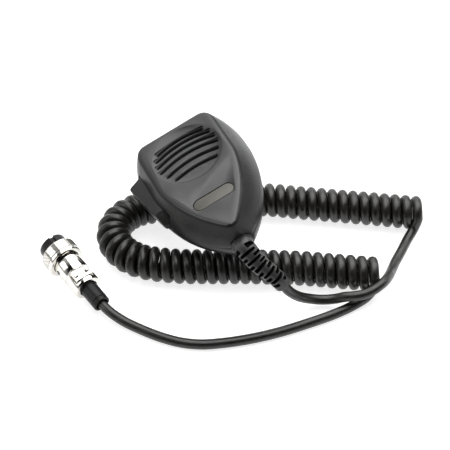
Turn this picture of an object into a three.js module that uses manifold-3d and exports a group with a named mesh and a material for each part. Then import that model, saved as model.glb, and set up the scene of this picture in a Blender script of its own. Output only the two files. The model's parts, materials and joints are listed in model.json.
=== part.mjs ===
// Hand microphone with a push-to-talk lever, a curly cord and a screw-ring plug.
// Millimetres. +Z is up, +Y runs along the microphone towards its flat top end.
// The origin is the centre of the microphone's box; it leans on its hang stud, right side up.
import * as THREE from "three";
import { mergeVertices } from "three/addons/utils/BufferGeometryUtils.js";
import Module from "manifold-3d";

const wasm = await Module();
wasm.setup();

// ---------------------------------------------------------------- clearances
const gap = 0.3; // between pieces that touch
const runningGap = 0.35; // round a pin, a plunger or a moving lever

// ---------------------------------------------------------------- place on the table
const leanDegrees = 20.5; // the right side stands higher than the left
const rearPlateX = 7.8; // centre of the rear plate below the grille
const rearPlateY = 25.6;
const rearPlateZ = -13.6;
const tableDrop = 38; // the table lies this far below the origin

// ---------------------------------------------------------------- shells
const rearDepth = 14; // rear plate to the seam
const frontDepth = 15; // seam to the face
const wall = 2;
const faceWall = 3;
const edgeRound = 1.2; // bevel round the face
const rearRound = 2.5; // bevel round the rear plate
const seamStep = 0.5; // the rear shell sits in from the front shell
const faceOutline = {
  halfWidth: 20.4, top: 19.6, corner: 6, cornerDrop: 8, shoulder: -12, flankX: 17.8, flankY: -33, tipHalf: 3, tipSide: -51.6, tip: -53.2,
};
const seamOutline = {
  halfWidth: 28, top: 23.6, corner: 12, cornerDrop: 24, shoulder: -6, flankX: 25.4, flankY: -37, tipHalf: 6, tipSide: -51.6, tip: -53,
};
const rearOutline = {
  halfWidth: 22.5, top: 19.5, corner: 10, cornerDrop: 20, shoulder: -6, flankX: 20, flankY: -32, tipHalf: 5, tipSide: -46.5, tip: -48,
};
const plateOutline = {
  halfWidth: 19, top: 17, corner: 7, cornerDrop: 10, shoulder: -6, flankX: 17, flankY: -29, tipHalf: 4, tipSide: -43, tip: -44.5,
};

// ---------------------------------------------------------------- grille and badge
const grilleX = 0.6; // centre of the dish
const grilleY = -0.5;
const dishRadius = 17.4;
const dishFloorRadius = 16.6;
const dishDepth = 1.4;
const slotWidth = 1.5;
const slotArc = 40; // radius of every slot
const slots = [
  { crest: 11.6, half: 12.2 },
  { crest: 8.7, half: 14.4 },
  { crest: 5.2, half: 15.4 },
  { crest: 1.2, half: 15.4 },
  { crest: -3.8, half: 13.6 },
  { crest: -9.0, half: 11.0 },
];
const clothThickness = 0.5;
const badgeLength = 20.6;
const badgeWidth = 6.4;
const badgeDepth = 0.9;
const badgeY = -32.7;

// ---------------------------------------------------------------- fasteners
const upperScrewX = 13;
const upperScrewY = 12.6;
const lowerScrewX = 8;
const lowerScrewY = -35;
const screwShank = 1.25; // radius
const screwHead = 2.1; // radius
const screwHeadHeight = 2;
const screwLength = 18;
const screwSink = 1.6; // the head lies this deep in the rear plate
const bossWall = 1.6;

// ---------------------------------------------------------------- board and capsule
const boardWidth = 28;
const boardTop = 8;
const boardBottom = -27;
const boardThickness = 1.6;
const boardSeat = 10.7; // height of the board's supports
const boardPostX = 10;
const boardPostY = -21;
const boardPostRadius = 2.4;
const boardScrewShank = 0.9;
const boardScrewHead = 1.7;
const boardScrewLength = 7;
const capacitorRadius = 2.5;
const capacitorHeight = 7;
const capacitorX = 9.5;
const capacitorYs = [-10, -2];
const chip = { x0: -6, x1: 3, y0: -17, y1: -12, height: 2 };
const header = { x0: -6, x1: 6, y0: -26, y1: -22, height: 5 };
const leadRadius = 0.5;
const leadX = 2;
const capsuleRadius = 4.85;
const capsuleHeight = 6.5;
const grommetWall = 1.8;
const grommetHeight = 7.6;

// ---------------------------------------------------------------- push-to-talk lever
const pivotX = -19;
const pivotY = -19;
const pinRadius = 1;
const pinBossRadius = 2.4;
const leverReach = 28; // pivot to the lever's upper end
const leverFoot = 4; // the lever runs on below the pivot
const leverOutTop = 12.7; // how far it stands out from the pivot line
const leverOutFoot = 7.4;
const leverInner = 1.8;
const leverHeight = 7.4;
const leverLip = 3.2;
const leverRib = 2.3; // presses the plunger
const leverBase = rearDepth + 0.8;
const notchHeight = 8.6;
const switchReach = 23; // pivot to the plunger
const switchWidth = 4.9;
const switchLength = 12;
const switchHeight = 6;
const plungerRadius = 1.2;
const plungerLength = 3.4;
const plungerShows = 2.4; // of it, outside the switch at rest
const springReach = 12;
const springLength = 4.2;
const springRadius = 2;
const springWire = 0.6;
const springRibThickness = 1.6;
const springRibHalf = 3;

// ---------------------------------------------------------------- hang stud
const studY = 9;
const studHeadRadius = 6.5;
const studNeckRadius = 4;
const studHeadHeight = 2.2;
const studNeckHeight = 2.8;

// ---------------------------------------------------------------- cord and boot
const cordRadius = 2.4;
const coilRadius = 8.5;
const cordHole = 4.3;
const bootNeck = 3.9;
const bootFlange = 5.4;
const bootCollar = 5.6;
const bootRoot = 5; // radius of the sheath beside its collar
const bootTip = 3.8;
const bootFlangeThickness = 1.6;
const bootFlangeDepth = 6.2; // behind the shells' tip
const bootCollarThickness = 2.6;
const exitHeight = rearDepth; // the cord leaves on the seam

// ---------------------------------------------------------------- plug
const barrelRadius = 6.7;
const ringStand = 2.2; // the ring stands out this far from the barrel
const ringLength = 8;
const ringWall = 1.2;
const ringLip = 3; // the ring's rear lip grips the barrel's shoulder
const insertStep = 0.2; // the insert is this much larger than the barrel in radius
const insertProud = 5;
const barrelLength = 19;
const barrelWall = 1;
const sleeveRadius = 4.2;
const sleeveLength = 15.5;
const plugFrontX = -68.45; // centre of the ring's front edge
const plugFrontY = 29.26;
const plugHeading = 13; // degrees, turned from +Y towards -X
const plugTilt = 6.5; // degrees, nose up
const plugRoll = 175; // degrees about its own axis, the saddle on top
const pinHoleRadius = 0.9;
const pinHoleCircle = 4.2;
const pinHoleCount = 7;
const saddleHalfWidth = 4.5;
const saddleLength = 6;
const saddleRise = 0.2; // above the barrel
const saddleScrewX = 2.9;
const saddleScrewShank = 0.8;

// ---------------------------------------------------------------- helpers
function finish(color, roughness, metalness = 0) {
  return new THREE.MeshStandardMaterial({ color, roughness, metalness });
}

const blackPlastic = finish(0x2b2b2d, 0.6);
const facePlastic = finish(0x323234, 0.65);
const leverPlastic = finish(0x363636, 0.6);
const blackRubber = finish(0x1d1d1d, 0.75);
const cordJacket = finish(0x201f1e, 0.6);
const badgeFinish = finish(0x4b4a42, 0.4, 0.3);
const steel = finish(0xb8b8b8, 0.35, 0.9);
const nickel = finish(0xd8d8d8, 0.18, 1);
const brass = finish(0xb9975b, 0.35, 1);
const boardGreen = finish(0x1e4a32, 0.6);
const cloth = finish(0x141414, 0.95);

function piece(name, geometry, material) {
  const mesh = new THREE.Mesh(geometry, material);
  mesh.name = name;
  return mesh;
}

// A closed geometry as a solid that can be joined and cut.
function solid(geometry) {
  const bare = geometry.index ? geometry.toNonIndexed() : geometry.clone();
  bare.deleteAttribute("normal");
  bare.deleteAttribute("uv");
  const merged = mergeVertices(bare, 1e-4);
  return new wasm.Manifold(
    new wasm.Mesh({
      numProp: 3,
      vertProperties: merged.attributes.position.array,
      triVerts: new Uint32Array(merged.index.array),
    }),
  );
}

function geometryOf(manifold) {
  const mesh = manifold.getMesh();
  const geometry = new THREE.BufferGeometry();
  geometry.setAttribute("position", new THREE.BufferAttribute(mesh.vertProperties, 3));
  geometry.setIndex(new THREE.BufferAttribute(mesh.triVerts, 1));
  geometry.computeVertexNormals();
  return geometry;
}

// The base joined with what is added, less what is cut away.
function carve(base, added = [], removed = []) {
  let body = solid(base);
  for (const geometry of added) {
    body = body.add(solid(geometry));
  }
  for (const geometry of removed) {
    body = body.subtract(solid(geometry));
  }
  return geometryOf(body);
}

function box(x0, x1, y0, y1, z0, z1) {
  const geometry = new THREE.BoxGeometry(x1 - x0, y1 - y0, z1 - z0);
  return geometry.translate((x0 + x1) / 2, (y0 + y1) / 2, (z0 + z1) / 2);
}

// An upright cylinder from z0 to z1.
function rod(x, y, z0, z1, radius, sides = 16) {
  const geometry = new THREE.CylinderGeometry(radius, radius, z1 - z0, sides);
  return geometry.rotateX(Math.PI / 2).translate(x, y, (z0 + z1) / 2);
}

// A cylinder along X, or along Y.
function rodX(x0, x1, y, z, radius, sides = 16) {
  const geometry = new THREE.CylinderGeometry(radius, radius, x1 - x0, sides);
  return geometry.rotateZ(Math.PI / 2).translate((x0 + x1) / 2, y, z);
}

function rodY(x, y0, y1, z, radius, sides = 20) {
  const geometry = new THREE.CylinderGeometry(radius, radius, y1 - y0, sides);
  return geometry.translate(x, (y0 + y1) / 2, z);
}

// A turned piece about Z: pairs of radius and height, from the axis and back to it.
function turned(profile, sides = 32) {
  const points = profile.map(([radius, height]) => new THREE.Vector2(radius, height));
  return new THREE.LatheGeometry(points, sides).rotateX(Math.PI / 2);
}

// A turned ring: its outline closes on itself.
function turnedRing(profile, sides = 32) {
  return turned([...profile, profile[0]], sides);
}

// The microphone's shield outline: flat top, straight sides, flanks that close on a round tip.
function shield(o, divisions = 7) {
  const shape = new THREE.Shape();
  shape.moveTo(o.halfWidth - o.corner, o.top);
  shape.lineTo(o.corner - o.halfWidth, o.top);
  shape.quadraticCurveTo(-o.halfWidth, o.top, -o.halfWidth, o.top - o.cornerDrop);
  shape.lineTo(-o.halfWidth, o.shoulder);
  shape.quadraticCurveTo(-o.flankX, o.flankY, -o.tipHalf, o.tipSide);
  shape.quadraticCurveTo(0, 2 * o.tip - o.tipSide, o.tipHalf, o.tipSide);
  shape.quadraticCurveTo(o.flankX, o.flankY, o.halfWidth, o.shoulder);
  shape.lineTo(o.halfWidth, o.top - o.cornerDrop);
  shape.quadraticCurveTo(o.halfWidth, o.top, o.halfWidth - o.corner, o.top);
  const points = shape.getPoints(divisions);
  points.pop();
  return points;
}

// The outline moved inwards by a distance.
function inset(points, distance) {
  return points.map((point, i) => {
    const before = points[(i + points.length - 1) % points.length];
    const after = points[(i + 1) % points.length];
    const along = after.clone().sub(before).normalize();
    return new THREE.Vector2(point.x - along.y * distance, point.y + along.x * distance);
  });
}

function blendOutlines(a, b, share) {
  return a.map((point, i) => point.clone().lerp(b[i], share));
}

// A closed skin over outlines at rising heights.
function loft(levels) {
  const count = levels[0].points.length;
  const position = [];
  for (const level of levels) {
    for (const point of level.points) {
      position.push(point.x, point.y, level.z);
    }
  }
  const index = [];
  for (let level = 0; level + 1 < levels.length; level += 1) {
    for (let i = 0; i < count; i += 1) {
      const a = level * count + i;
      const b = level * count + ((i + 1) % count);
      index.push(a, b, b + count, a, b + count, a + count);
    }
  }
  const top = (levels.length - 1) * count;
  for (const [a, b, c] of THREE.ShapeUtils.triangulateShape(levels[0].points, [])) {
    index.push(a, c, b);
  }
  for (const [a, b, c] of THREE.ShapeUtils.triangulateShape(levels.at(-1).points, [])) {
    index.push(top + a, top + b, top + c);
  }
  const geometry = new THREE.BufferGeometry();
  geometry.setAttribute("position", new THREE.Float32BufferAttribute(position, 3));
  geometry.setIndex(index);
  return geometry;
}

// A flat plate of the given outline points between two heights.
function plate(points, z0, z1) {
  const shape = new THREE.Shape(points.map(([x, y]) => new THREE.Vector2(x, y)));
  return new THREE.ExtrudeGeometry(shape, { depth: z1 - z0, bevelEnabled: false }).translate(0, 0, z0);
}

function stadium(length, width, y, z0, z1) {
  const radius = width / 2;
  const straight = length / 2 - radius;
  const shape = new THREE.Shape();
  shape.absarc(straight, y, radius, -Math.PI / 2, Math.PI / 2, false);
  shape.absarc(-straight, y, radius, Math.PI / 2, Math.PI * 1.5, false);
  const options = { depth: z1 - z0, bevelEnabled: false, curveSegments: 8 };
  return new THREE.ExtrudeGeometry(shape, options).translate(0, 0, z0);
}

function spline(points) {
  return new THREE.CatmullRomCurve3(points.map(([x, y, z]) => new THREE.Vector3(x, y, z)));
}

// A tube round a stretch of a curve; its radius runs evenly through the list.
function tube(curve, radii, steps, sides = 8, from = 0, to = 1) {
  const up = new THREE.Vector3(0, 0, 1);
  const position = [];
  for (let step = 0; step <= steps; step += 1) {
    const along = THREE.MathUtils.lerp(from, to, step / steps);
    const centre = curve.getPointAt(along);
    const ahead = curve.getTangentAt(along);
    const across = ahead.clone().cross(up).normalize();
    const above = across.clone().cross(ahead);
    const at = (step / steps) * (radii.length - 1);
    const low = Math.min(Math.floor(at), radii.length - 2);
    const radius = THREE.MathUtils.lerp(radii[low], radii[low + 1], at - low);
    for (let side = 0; side < sides; side += 1) {
      const angle = (2 * Math.PI * (side + 0.5)) / sides;
      const spot = centre.clone();
      spot.addScaledVector(above, radius * Math.cos(angle));
      spot.addScaledVector(across, radius * Math.sin(angle));
      position.push(spot.x, spot.y, spot.z);
    }
  }
  const index = [];
  for (let step = 0; step < steps; step += 1) {
    for (let side = 0; side < sides; side += 1) {
      const a = step * sides + side;
      const b = step * sides + ((side + 1) % sides);
      index.push(a, b, b + sides, a, b + sides, a + sides);
    }
  }
  const last = steps * sides;
  for (let side = 1; side + 1 < sides; side += 1) {
    index.push(0, side + 1, side);
    index.push(last, last + side, last + side + 1);
  }
  const geometry = new THREE.BufferGeometry();
  geometry.setAttribute("position", new THREE.Float32BufferAttribute(position, 3));
  geometry.setIndex(index);
  return geometry;
}

// ---------------------------------------------------------------- the microphone
const faceTop = rearDepth + frontDepth;
const flangeFace = seamOutline.tip + bootFlangeDepth + bootFlangeThickness;
const roof = faceTop - faceWall;
const faceRing = shield(faceOutline);
const seamRing = shield(seamOutline);
const rearRing = shield(rearOutline);
const plateRing = shield(plateOutline);
const pilotRadius = screwShank + gap;
const bossRadius = pilotRadius + bossWall;
const screwSpots = [
  [upperScrewX, upperScrewY],
  [-upperScrewX, upperScrewY],
  [lowerScrewX, lowerScrewY],
  [-lowerScrewX, lowerScrewY],
];
const screwTip = screwSink + screwLength;
const boardTopZ = boardSeat + gap + boardThickness;
const pinTop = roof - 1.2;
const pinFoot = rearDepth - 1.2;
const leverTop = leverBase + leverHeight;
const notchTop = rearDepth + notchHeight;
const grilleFloor = faceTop - dishDepth;

// The wall's outline at a height above the seam, leaning in towards the face.
function flankAt(z) {
  return blendOutlines(seamRing, faceRing, (z - rearDepth) / frontDepth);
}

function slotCut({ crest, half }) {
  const spread = Math.asin(half / slotArc);
  const outer = slotArc + slotWidth / 2;
  const inner = slotArc - slotWidth / 2;
  const shape = new THREE.Shape();
  shape.absarc(0, crest - slotArc, outer, Math.PI / 2 - spread, Math.PI / 2 + spread, false);
  shape.absarc(0, crest - slotArc, inner, Math.PI / 2 + spread, Math.PI / 2 - spread, true);
  const options = { depth: faceWall + 2, bevelEnabled: false, curveSegments: 6 };
  return new THREE.ExtrudeGeometry(shape, options).translate(grilleX, 0, roof - 1);
}

// The rib that backs the lever's spring, or the room it needs in another piece.
function springPost(margin = 0) {
  const face = pivotX + leverInner + springLength + gap * 2;
  return box(
    face - margin,
    face + springRibThickness + margin,
    pivotY + springReach - springRibHalf - margin,
    pivotY + springReach + springRibHalf + margin,
    leverBase,
    roof + 1,
  );
}

function frontShell() {
  const bevelStart = faceTop - edgeRound;
  const skin = loft([
    { z: rearDepth, points: seamRing },
    { z: bevelStart, points: flankAt(bevelStart) },
    { z: faceTop - edgeRound / 3, points: inset(flankAt(faceTop - edgeRound / 3), edgeRound / 4) },
    { z: faceTop, points: inset(faceRing, edgeRound) },
  ]);
  const hollow = loft([
    { z: rearDepth - 1, points: inset(seamRing, wall) },
    { z: roof, points: inset(flankAt(roof), wall) },
  ]);
  const notchInner = pivotX + leverInner + 1;
  const notch = box(
    -seamOutline.halfWidth - leverOutTop,
    notchInner,
    pivotY - leverFoot - runningGap,
    pivotY + leverReach + 1.2,
    rearDepth - 1,
    notchTop,
  );
  const dish = turned([
    [0, grilleFloor],
    [dishFloorRadius, grilleFloor],
    [dishRadius, faceTop],
    [dishRadius, faceTop + 1],
    [0, faceTop + 1],
  ], 48).translate(grilleX, grilleY, 0);
  const pocket = stadium(badgeLength + 2 * gap, badgeWidth + 2 * gap, badgeY, faceTop - badgeDepth, faceTop + 1);
  const bosses = screwSpots.map(([x, y]) => rod(x, y, rearDepth, roof + 1, bossRadius));
  const pinBoss = rod(pivotX, pivotY, leverTop + gap, roof + 1, pinBossRadius);
  const pilots = screwSpots.map(([x, y]) => rod(x, y, rearDepth - 1, screwTip + 1, pilotRadius, 12));
  const pinHole = rod(pivotX, pivotY, notchTop - 2, pinTop + gap, pinRadius + gap, 12);
  const exit = rodY(0, faceOutline.tip - 8, faceOutline.tip + 8, exitHeight, cordHole);
  const cupped = carve(skin, [], [hollow, notch]);
  return carve(
    cupped,
    [...bosses, springPost(), pinBoss],
    [dish, pocket, ...slots.map(slotCut), ...pilots, pinHole, exit],
  );
}

function rearShell() {
  const rim = rearDepth - gap;
  const rimRing = inset(seamRing, seamStep);
  const skin = loft([
    { z: 0, points: plateRing },
    { z: rearRound, points: rearRing },
    { z: rearRound + (rim - rearRound) * 0.4, points: blendOutlines(rearRing, rimRing, 0.68) },
    { z: rearRound + (rim - rearRound) * 0.8, points: blendOutlines(rearRing, rimRing, 0.97) },
    { z: rim, points: rimRing },
  ]);
  const hollow = loft([
    { z: wall, points: inset(plateRing, wall / 2) },
    { z: rearRound + wall, points: inset(rearRing, wall) },
    { z: rearRound + (rim - rearRound) * 0.8, points: inset(blendOutlines(rearRing, rimRing, 0.95), wall) },
    { z: rim + 1, points: inset(rimRing, wall) },
  ]);
  const holeRadius = screwShank + gap;
  const posts = screwSpots.map(([x, y]) => rod(x, y, wall / 2, rim, bossRadius));
  const boardPosts = [1, -1].map((side) => rod(side * boardPostX, boardPostY, wall / 2, boardSeat, boardPostRadius, 16));
  const pinPost = rod(pivotX + 1, pivotY + 1, wall + 2, rim, pinBossRadius);
  const studBoss = rod(0, studY, wall / 2, wall + 3.4, studNeckRadius + 0.6);
  const sinks = screwSpots.map(([x, y]) => rod(x, y, -1, screwSink + screwHeadHeight + gap, screwHead + gap, 16));
  const holes = screwSpots.map(([x, y]) => rod(x, y, 1, rim + 1, holeRadius, 12));
  const boardPilots = [1, -1].map((side) =>
    rod(side * boardPostX, boardPostY, wall + 1.5, boardSeat + 1, boardScrewShank + gap, 12),
  );
  const pinHole = rod(pivotX, pivotY, pinFoot - gap, rim + 1, pinRadius + gap, 12);
  const studHole = rod(0, studY, -1, wall + 5, screwShank + gap, 12);
  const exit = rodY(0, faceOutline.tip - 8, faceOutline.tip + 8, exitHeight, cordHole);
  const cupped = carve(skin, [], [hollow]);
  return carve(
    cupped,
    [...posts, ...boardPosts, pinPost, studBoss],
    [...sinks, ...holes, ...boardPilots, pinHole, studHole, exit],
  );
}

// A pan-head screw, head down, its head's underside at z = 0 of its own frame.
function screw(shank, head, headHeight, length) {
  return turned([
    [0, -headHeight],
    [head * 0.7, -headHeight],
    [head, -headHeight * 0.5],
    [head, 0],
    [shank, 0],
    [shank, length - shank],
    [shank * 0.3, length],
    [0, length],
  ], 10);
}

// The lever lies along +Y from its pivot; its outer edge leans out towards its upper end.
function pushLever() {
  const inner = pivotX + leverInner;
  const foot = pivotY - leverFoot;
  const head = pivotY + leverReach;
  const outline = [
    [inner, foot + 2],
    [inner, head],
    [inner - leverLip + 0.6, head + leverLip],
    [inner - leverLip, head + leverLip],
    [inner - leverLip - 0.6, head],
    [pivotX - leverOutTop + 7.4, head],
    [pivotX - leverOutTop, head - 3.4],
    [pivotX - leverOutFoot, foot + 1.2],
    [pivotX - leverOutFoot + 1.2, foot],
    [inner - 2, foot],
  ];
  const rib = box(
    inner - 1,
    inner + leverRib,
    pivotY + switchReach - 1.5,
    pivotY + switchReach + 1.5,
    leverBase + 1.5,
    leverTop - 1.5,
  );
  const bore = rod(pivotX, pivotY, leverBase - 1, leverTop + 1, pinRadius + runningGap, 12);
  return carve(plate(outline, leverBase, leverTop), [rib], [bore]);
}

function microphone() {
  const group = new THREE.Group();
  const clothTop = roof - gap;
  const capsuleTop = clothTop - clothThickness - gap * 2;
  const grommetTop = clothTop - clothThickness - gap;
  const ribFace = pivotX + leverInner + leverRib;
  const plungerFace = ribFace + gap;
  const switchFace = plungerFace + plungerShows;
  const switchY = pivotY + switchReach;
  const switchZ = (leverBase + leverTop) / 2;
  const middle = (leverBase + leverTop) / 2;

  group.add(piece("front_shell", frontShell(), facePlastic));
  group.add(piece("rear_shell", rearShell(), blackPlastic));
  group.add(
    piece(
      "name_badge",
      stadium(badgeLength, badgeWidth, badgeY, faceTop - badgeDepth + gap, faceTop - 0.15),
      badgeFinish,
    ),
  );
  const clothDisc = rod(grilleX, grilleY, clothTop - clothThickness, clothTop, dishFloorRadius - gap, 36);
  const clothCuts = screwSpots.map(([x, y]) => rod(x, y, leverBase, roof, bossRadius + gap, 16));
  group.add(piece("grille_cloth", carve(clothDisc, [], [...clothCuts, springPost(gap)]), cloth));
  group.add(
    piece("mic_capsule", rod(0, 0, capsuleTop - capsuleHeight, capsuleTop, capsuleRadius, 24), steel),
  );
  const grommetInner = capsuleRadius + gap;
  const grommetOuter = grommetInner + grommetWall;
  group.add(
    piece(
      "capsule_grommet",
      turnedRing([
        [grommetInner, grommetTop - grommetHeight],
        [grommetOuter, grommetTop - grommetHeight],
        [grommetOuter, grommetTop],
        [grommetInner, grommetTop],
      ], 24),
      blackRubber,
    ),
  );
  for (const [label, side] of [["1", 1], ["2", -1]]) {
    group.add(
      piece(
        `capsule_lead_${label}`,
        rod(side * leadX, 0, boardTopZ + gap, capsuleTop - capsuleHeight - gap, leadRadius, 6),
        brass,
      ),
    );
  }

  const boardHoles = [1, -1].map((side) =>
    rod(side * boardPostX, boardPostY, boardSeat, boardTopZ + 1, boardScrewShank + gap, 12),
  );
  const board = box(-boardWidth / 2, boardWidth / 2, boardBottom, boardTop, boardTopZ - boardThickness, boardTopZ);
  group.add(piece("circuit_board", carve(board, [], boardHoles), boardGreen));
  for (const [label, side] of [["1", 1], ["2", -1]]) {
    const mesh = piece(`board_screw_${label}`, screw(boardScrewShank, boardScrewHead, 1.4, boardScrewLength), steel);
    mesh.position.set(side * boardPostX, boardPostY, boardTopZ + gap);
    mesh.rotation.x = Math.PI;
    group.add(mesh);
  }
  const partsSeat = boardTopZ + gap;
  capacitorYs.forEach((y, i) => {
    const can = rod(capacitorX, y, partsSeat, partsSeat + capacitorHeight, capacitorRadius, 16);
    group.add(piece(`capacitor_${i + 1}`, can, steel));
  });
  for (const [name, o] of [["amplifier_chip", chip], ["cord_header", header]]) {
    group.add(piece(name, box(o.x0, o.x1, o.y0, o.y1, partsSeat, partsSeat + o.height), blackPlastic));
  }

  const socket = rodX(switchFace - 1, switchFace + switchWidth - 0.9, switchY, switchZ, plungerRadius + runningGap, 12);
  const switchBody = box(
    switchFace,
    switchFace + switchWidth,
    switchY - switchLength / 2,
    switchY + switchLength / 2 - 2,
    partsSeat,
    partsSeat + switchHeight + 3,
  );
  group.add(piece("talk_switch", carve(switchBody, [], [socket]), blackPlastic));
  group.add(
    piece(
      "switch_plunger",
      rodX(plungerFace, plungerFace + plungerLength, switchY, switchZ, plungerRadius, 12),
      badgeFinish,
    ),
  );
  group.add(piece("talk_lever", pushLever(), leverPlastic));
  group.add(piece("lever_pin", rod(pivotX, pivotY, pinFoot, pinTop, pinRadius, 12), steel));
  const springStart = pivotX + leverInner + gap;
  const spring = turnedRing([
    [springRadius - springWire, 0],
    [springRadius, 0],
    [springRadius, springLength],
    [springRadius - springWire, springLength],
  ], 16);
  spring.rotateY(Math.PI / 2).translate(springStart, pivotY + springReach, middle);
  group.add(piece("lever_spring", spring, steel));

  screwSpots.forEach(([x, y], i) => {
    const mesh = piece(`case_screw_${i + 1}`, screw(screwShank, screwHead, screwHeadHeight, screwLength - 2), steel);
    mesh.position.set(x, y, screwSink + screwHeadHeight);
    group.add(mesh);
  });

  const studDepth = studNeckHeight + studHeadHeight;
  const studBore = screwShank + gap;
  const stud = turnedRing([
    [studBore, -studDepth + 1.6],
    [screwHead + gap, -studDepth + 1.6],
    [screwHead + gap, -studDepth],
    [studHeadRadius - 0.5, -studDepth],
    [studHeadRadius, -studDepth + 0.5],
    [studHeadRadius, -studNeckHeight - 0.3],
    [studHeadRadius - 0.6, -studNeckHeight],
    [studNeckRadius, -studNeckHeight],
    [studNeckRadius, -gap],
    [studBore, -gap],
  ], 32);
  stud.translate(0, studY, 0);
  group.add(piece("hang_stud", stud, steel));
  const studScrew = piece("stud_screw", screw(screwShank, screwHead, 1.2, 11), steel);
  studScrew.position.set(0, studY, -studDepth + 1.6 - gap);
  group.add(studScrew);
  const nut = new THREE.CylinderGeometry(2.9, 2.9, 2, 6).rotateX(Math.PI / 2).translate(0, studY, wall + 4.7);
  group.add(piece("stud_nut", carve(nut, [], [rod(0, studY, wall + 3, wall + 6, studBore, 12)]), brass));

  const clampY = faceOutline.tip + 11;
  const clampPlate = box(-5.2, 5.2, clampY - 1.6, clampY + 1.6, exitHeight + cordRadius + gap, exitHeight + cordRadius + 2);
  group.add(piece("cord_clamp", clampPlate, steel));
  const innerCord = rodY(0, flangeFace + gap, clampY + 6, exitHeight, cordRadius, 12);
  group.add(piece("cord_end", innerCord, cordJacket));

  group.rotation.y = THREE.MathUtils.degToRad(-leanDegrees);
  group.position.set(rearPlateX, rearPlateY, rearPlateZ);
  return group;
}

// ---------------------------------------------------------------- boot and cord
// A point of the microphone's own frame, in the part's frame.
function fromMicrophone(x, y, z) {
  const lean = THREE.MathUtils.degToRad(-leanDegrees);
  const point = new THREE.Vector3(x, y, z).applyAxisAngle(new THREE.Vector3(0, 1, 0), lean);
  return [point.x + rearPlateX, point.y + rearPlateY, point.z + rearPlateZ];
}

// Routes are in the part's frame, with heights above the table.
const bootRoute = [[6.6, -37.7, 32.4], [9.8, -41.5, 29.6], [12.9, -44.2, 26.1], [15.3, -45.6, 22.3]];
const mouthTail = [
  [15.7, -45.7, 21.6], [19.2, -45.7, 16], [24.4, -45, 10], [30.4, -45.1, 6], [35.8, -46.7, 4.6],
  [40.9, -49.4, 5.6], [44.8, -52.1, 7.9], [48.6, -54.4, 9], [53, -55.5, 9.4], [58, -55.1, 9.7], [64, -53, 9.8],
  [69.8, -48.3, 7.3], [75, -42.7, 4.2], [80.2, -37.3, 2.8], [86.5, -31.9, 2.5], [93.4, -25.9, 2.6], [99.2, -20.9, 4.6],
  [103, -17.5, 9], [103.9, -14.5, 13],
];
const coilRoute = [
  [98.2, -13.7], [83.9, -4.9], [69, 4.1], [54, 13.2], [39.5, 22.1], [20.9, 30.8], [1.6, 36.6], [-12.4, 40.3],
  [-23, 41.5], [-31.4, 39.1], [-37.6, 33.5], [-40.6, 25.5], [-39.4, 16.5], [-34.6, 8.5], [-27, 2.3],
  [-17.8, -3.2], [-2.7, -10.3], [12.5, -17.1], [33.8, -27.7], [49, -36.7], [59.8, -43],
];
const bendStart = 7; // index of the route point where the bend begins
const bendEnd = 15;
const plugTail = [
  [64.6, -44.5, 13.4], [64.9, -46.5, 8.5], [62, -49.1, 4.4], [57.2, -51.7, 2.6], [49.7, -53.9, 2.5],
  [38.5, -55.4, 2.5], [25.1, -55.6, 2.5], [9.7, -55.1, 2.5], [-4.7, -53.3, 2.5], [-18.4, -50.1, 2.5], [-27, -47, 2.5],
  [-34.8, -42.1, 2.5], [-41.9, -35.3, 2.5], [-48.6, -27.1, 2.6], [-54.2, -19.7, 3.4], [-58.1, -13, 4.7],
  [-59.8, -8, 5.4], [-60.6, -4.6, 5.8],
];

function onTable(points, height = 0) {
  return points.map(([x, y, z = height]) => [x, y, z - tableDrop]);
}

// A stretch of the coil's outer shape between two of its route points.
// Its ends are drawn back by half a gap, so that stretches meet face to face.
function coilSolid(first, last, steps) {
  const curve = spline(onTable(coilRoute, coilRadius + 0.05));
  const length = curve.getLength();
  const samples = 400;
  const lengths = curve.getLengths(samples);
  const reach = (index) => lengths[Math.round((index / (coilRoute.length - 1)) * samples)] / length;
  const draw = gap / 2 / length;
  return tube(curve, [coilRadius, coilRadius], steps, 12, reach(first) + draw, reach(last) - draw);
}

// The strain relief: a flange and neck held between the shells, a collar and a tapered sheath.
function cordBoot() {
  const tip = seamOutline.tip;
  const collarFace = tip - gap;
  const neckEnd = flangeFace - collarFace;
  const collarEnd = neckEnd + bootCollarThickness;
  const shank = turned([
    [0, 0],
    [bootFlange, 0],
    [bootFlange, bootFlangeThickness],
    [bootNeck, bootFlangeThickness],
    [bootNeck, neckEnd],
    [bootCollar, neckEnd],
    [bootCollar, collarEnd],
    [0, collarEnd],
  ], 20);
  shank.rotateX(Math.PI / 2).translate(0, flangeFace, exitHeight);
  shank.rotateY(THREE.MathUtils.degToRad(-leanDegrees)).translate(rearPlateX, rearPlateY, rearPlateZ);
  const base = fromMicrophone(0, collarFace - bootCollarThickness + 1, exitHeight);
  const spine = spline([base, ...onTable(bootRoute)]);
  return carve(shank, [tube(spine, [bootRoot, bootTip], 10, 16)]);
}

function cordGroup() {
  const group = new THREE.Group();
  group.add(piece("cord_boot", cordBoot(), blackRubber));
  group.add(piece("mic_side_tail", tube(spline(onTable(mouthTail)), [cordRadius, cordRadius], 34), cordJacket));
  group.add(piece("coil_far_run", coilSolid(0, bendStart, 12), cordJacket));
  group.add(piece("coil_bend", coilSolid(bendStart, bendEnd, 12), cordJacket));
  group.add(piece("coil_near_run", coilSolid(bendEnd, coilRoute.length - 1, 10), cordJacket));
  group.add(piece("plug_side_tail", tube(spline(onTable(plugTail)), [cordRadius, cordRadius], 34), cordJacket));
  return group;
}

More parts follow.
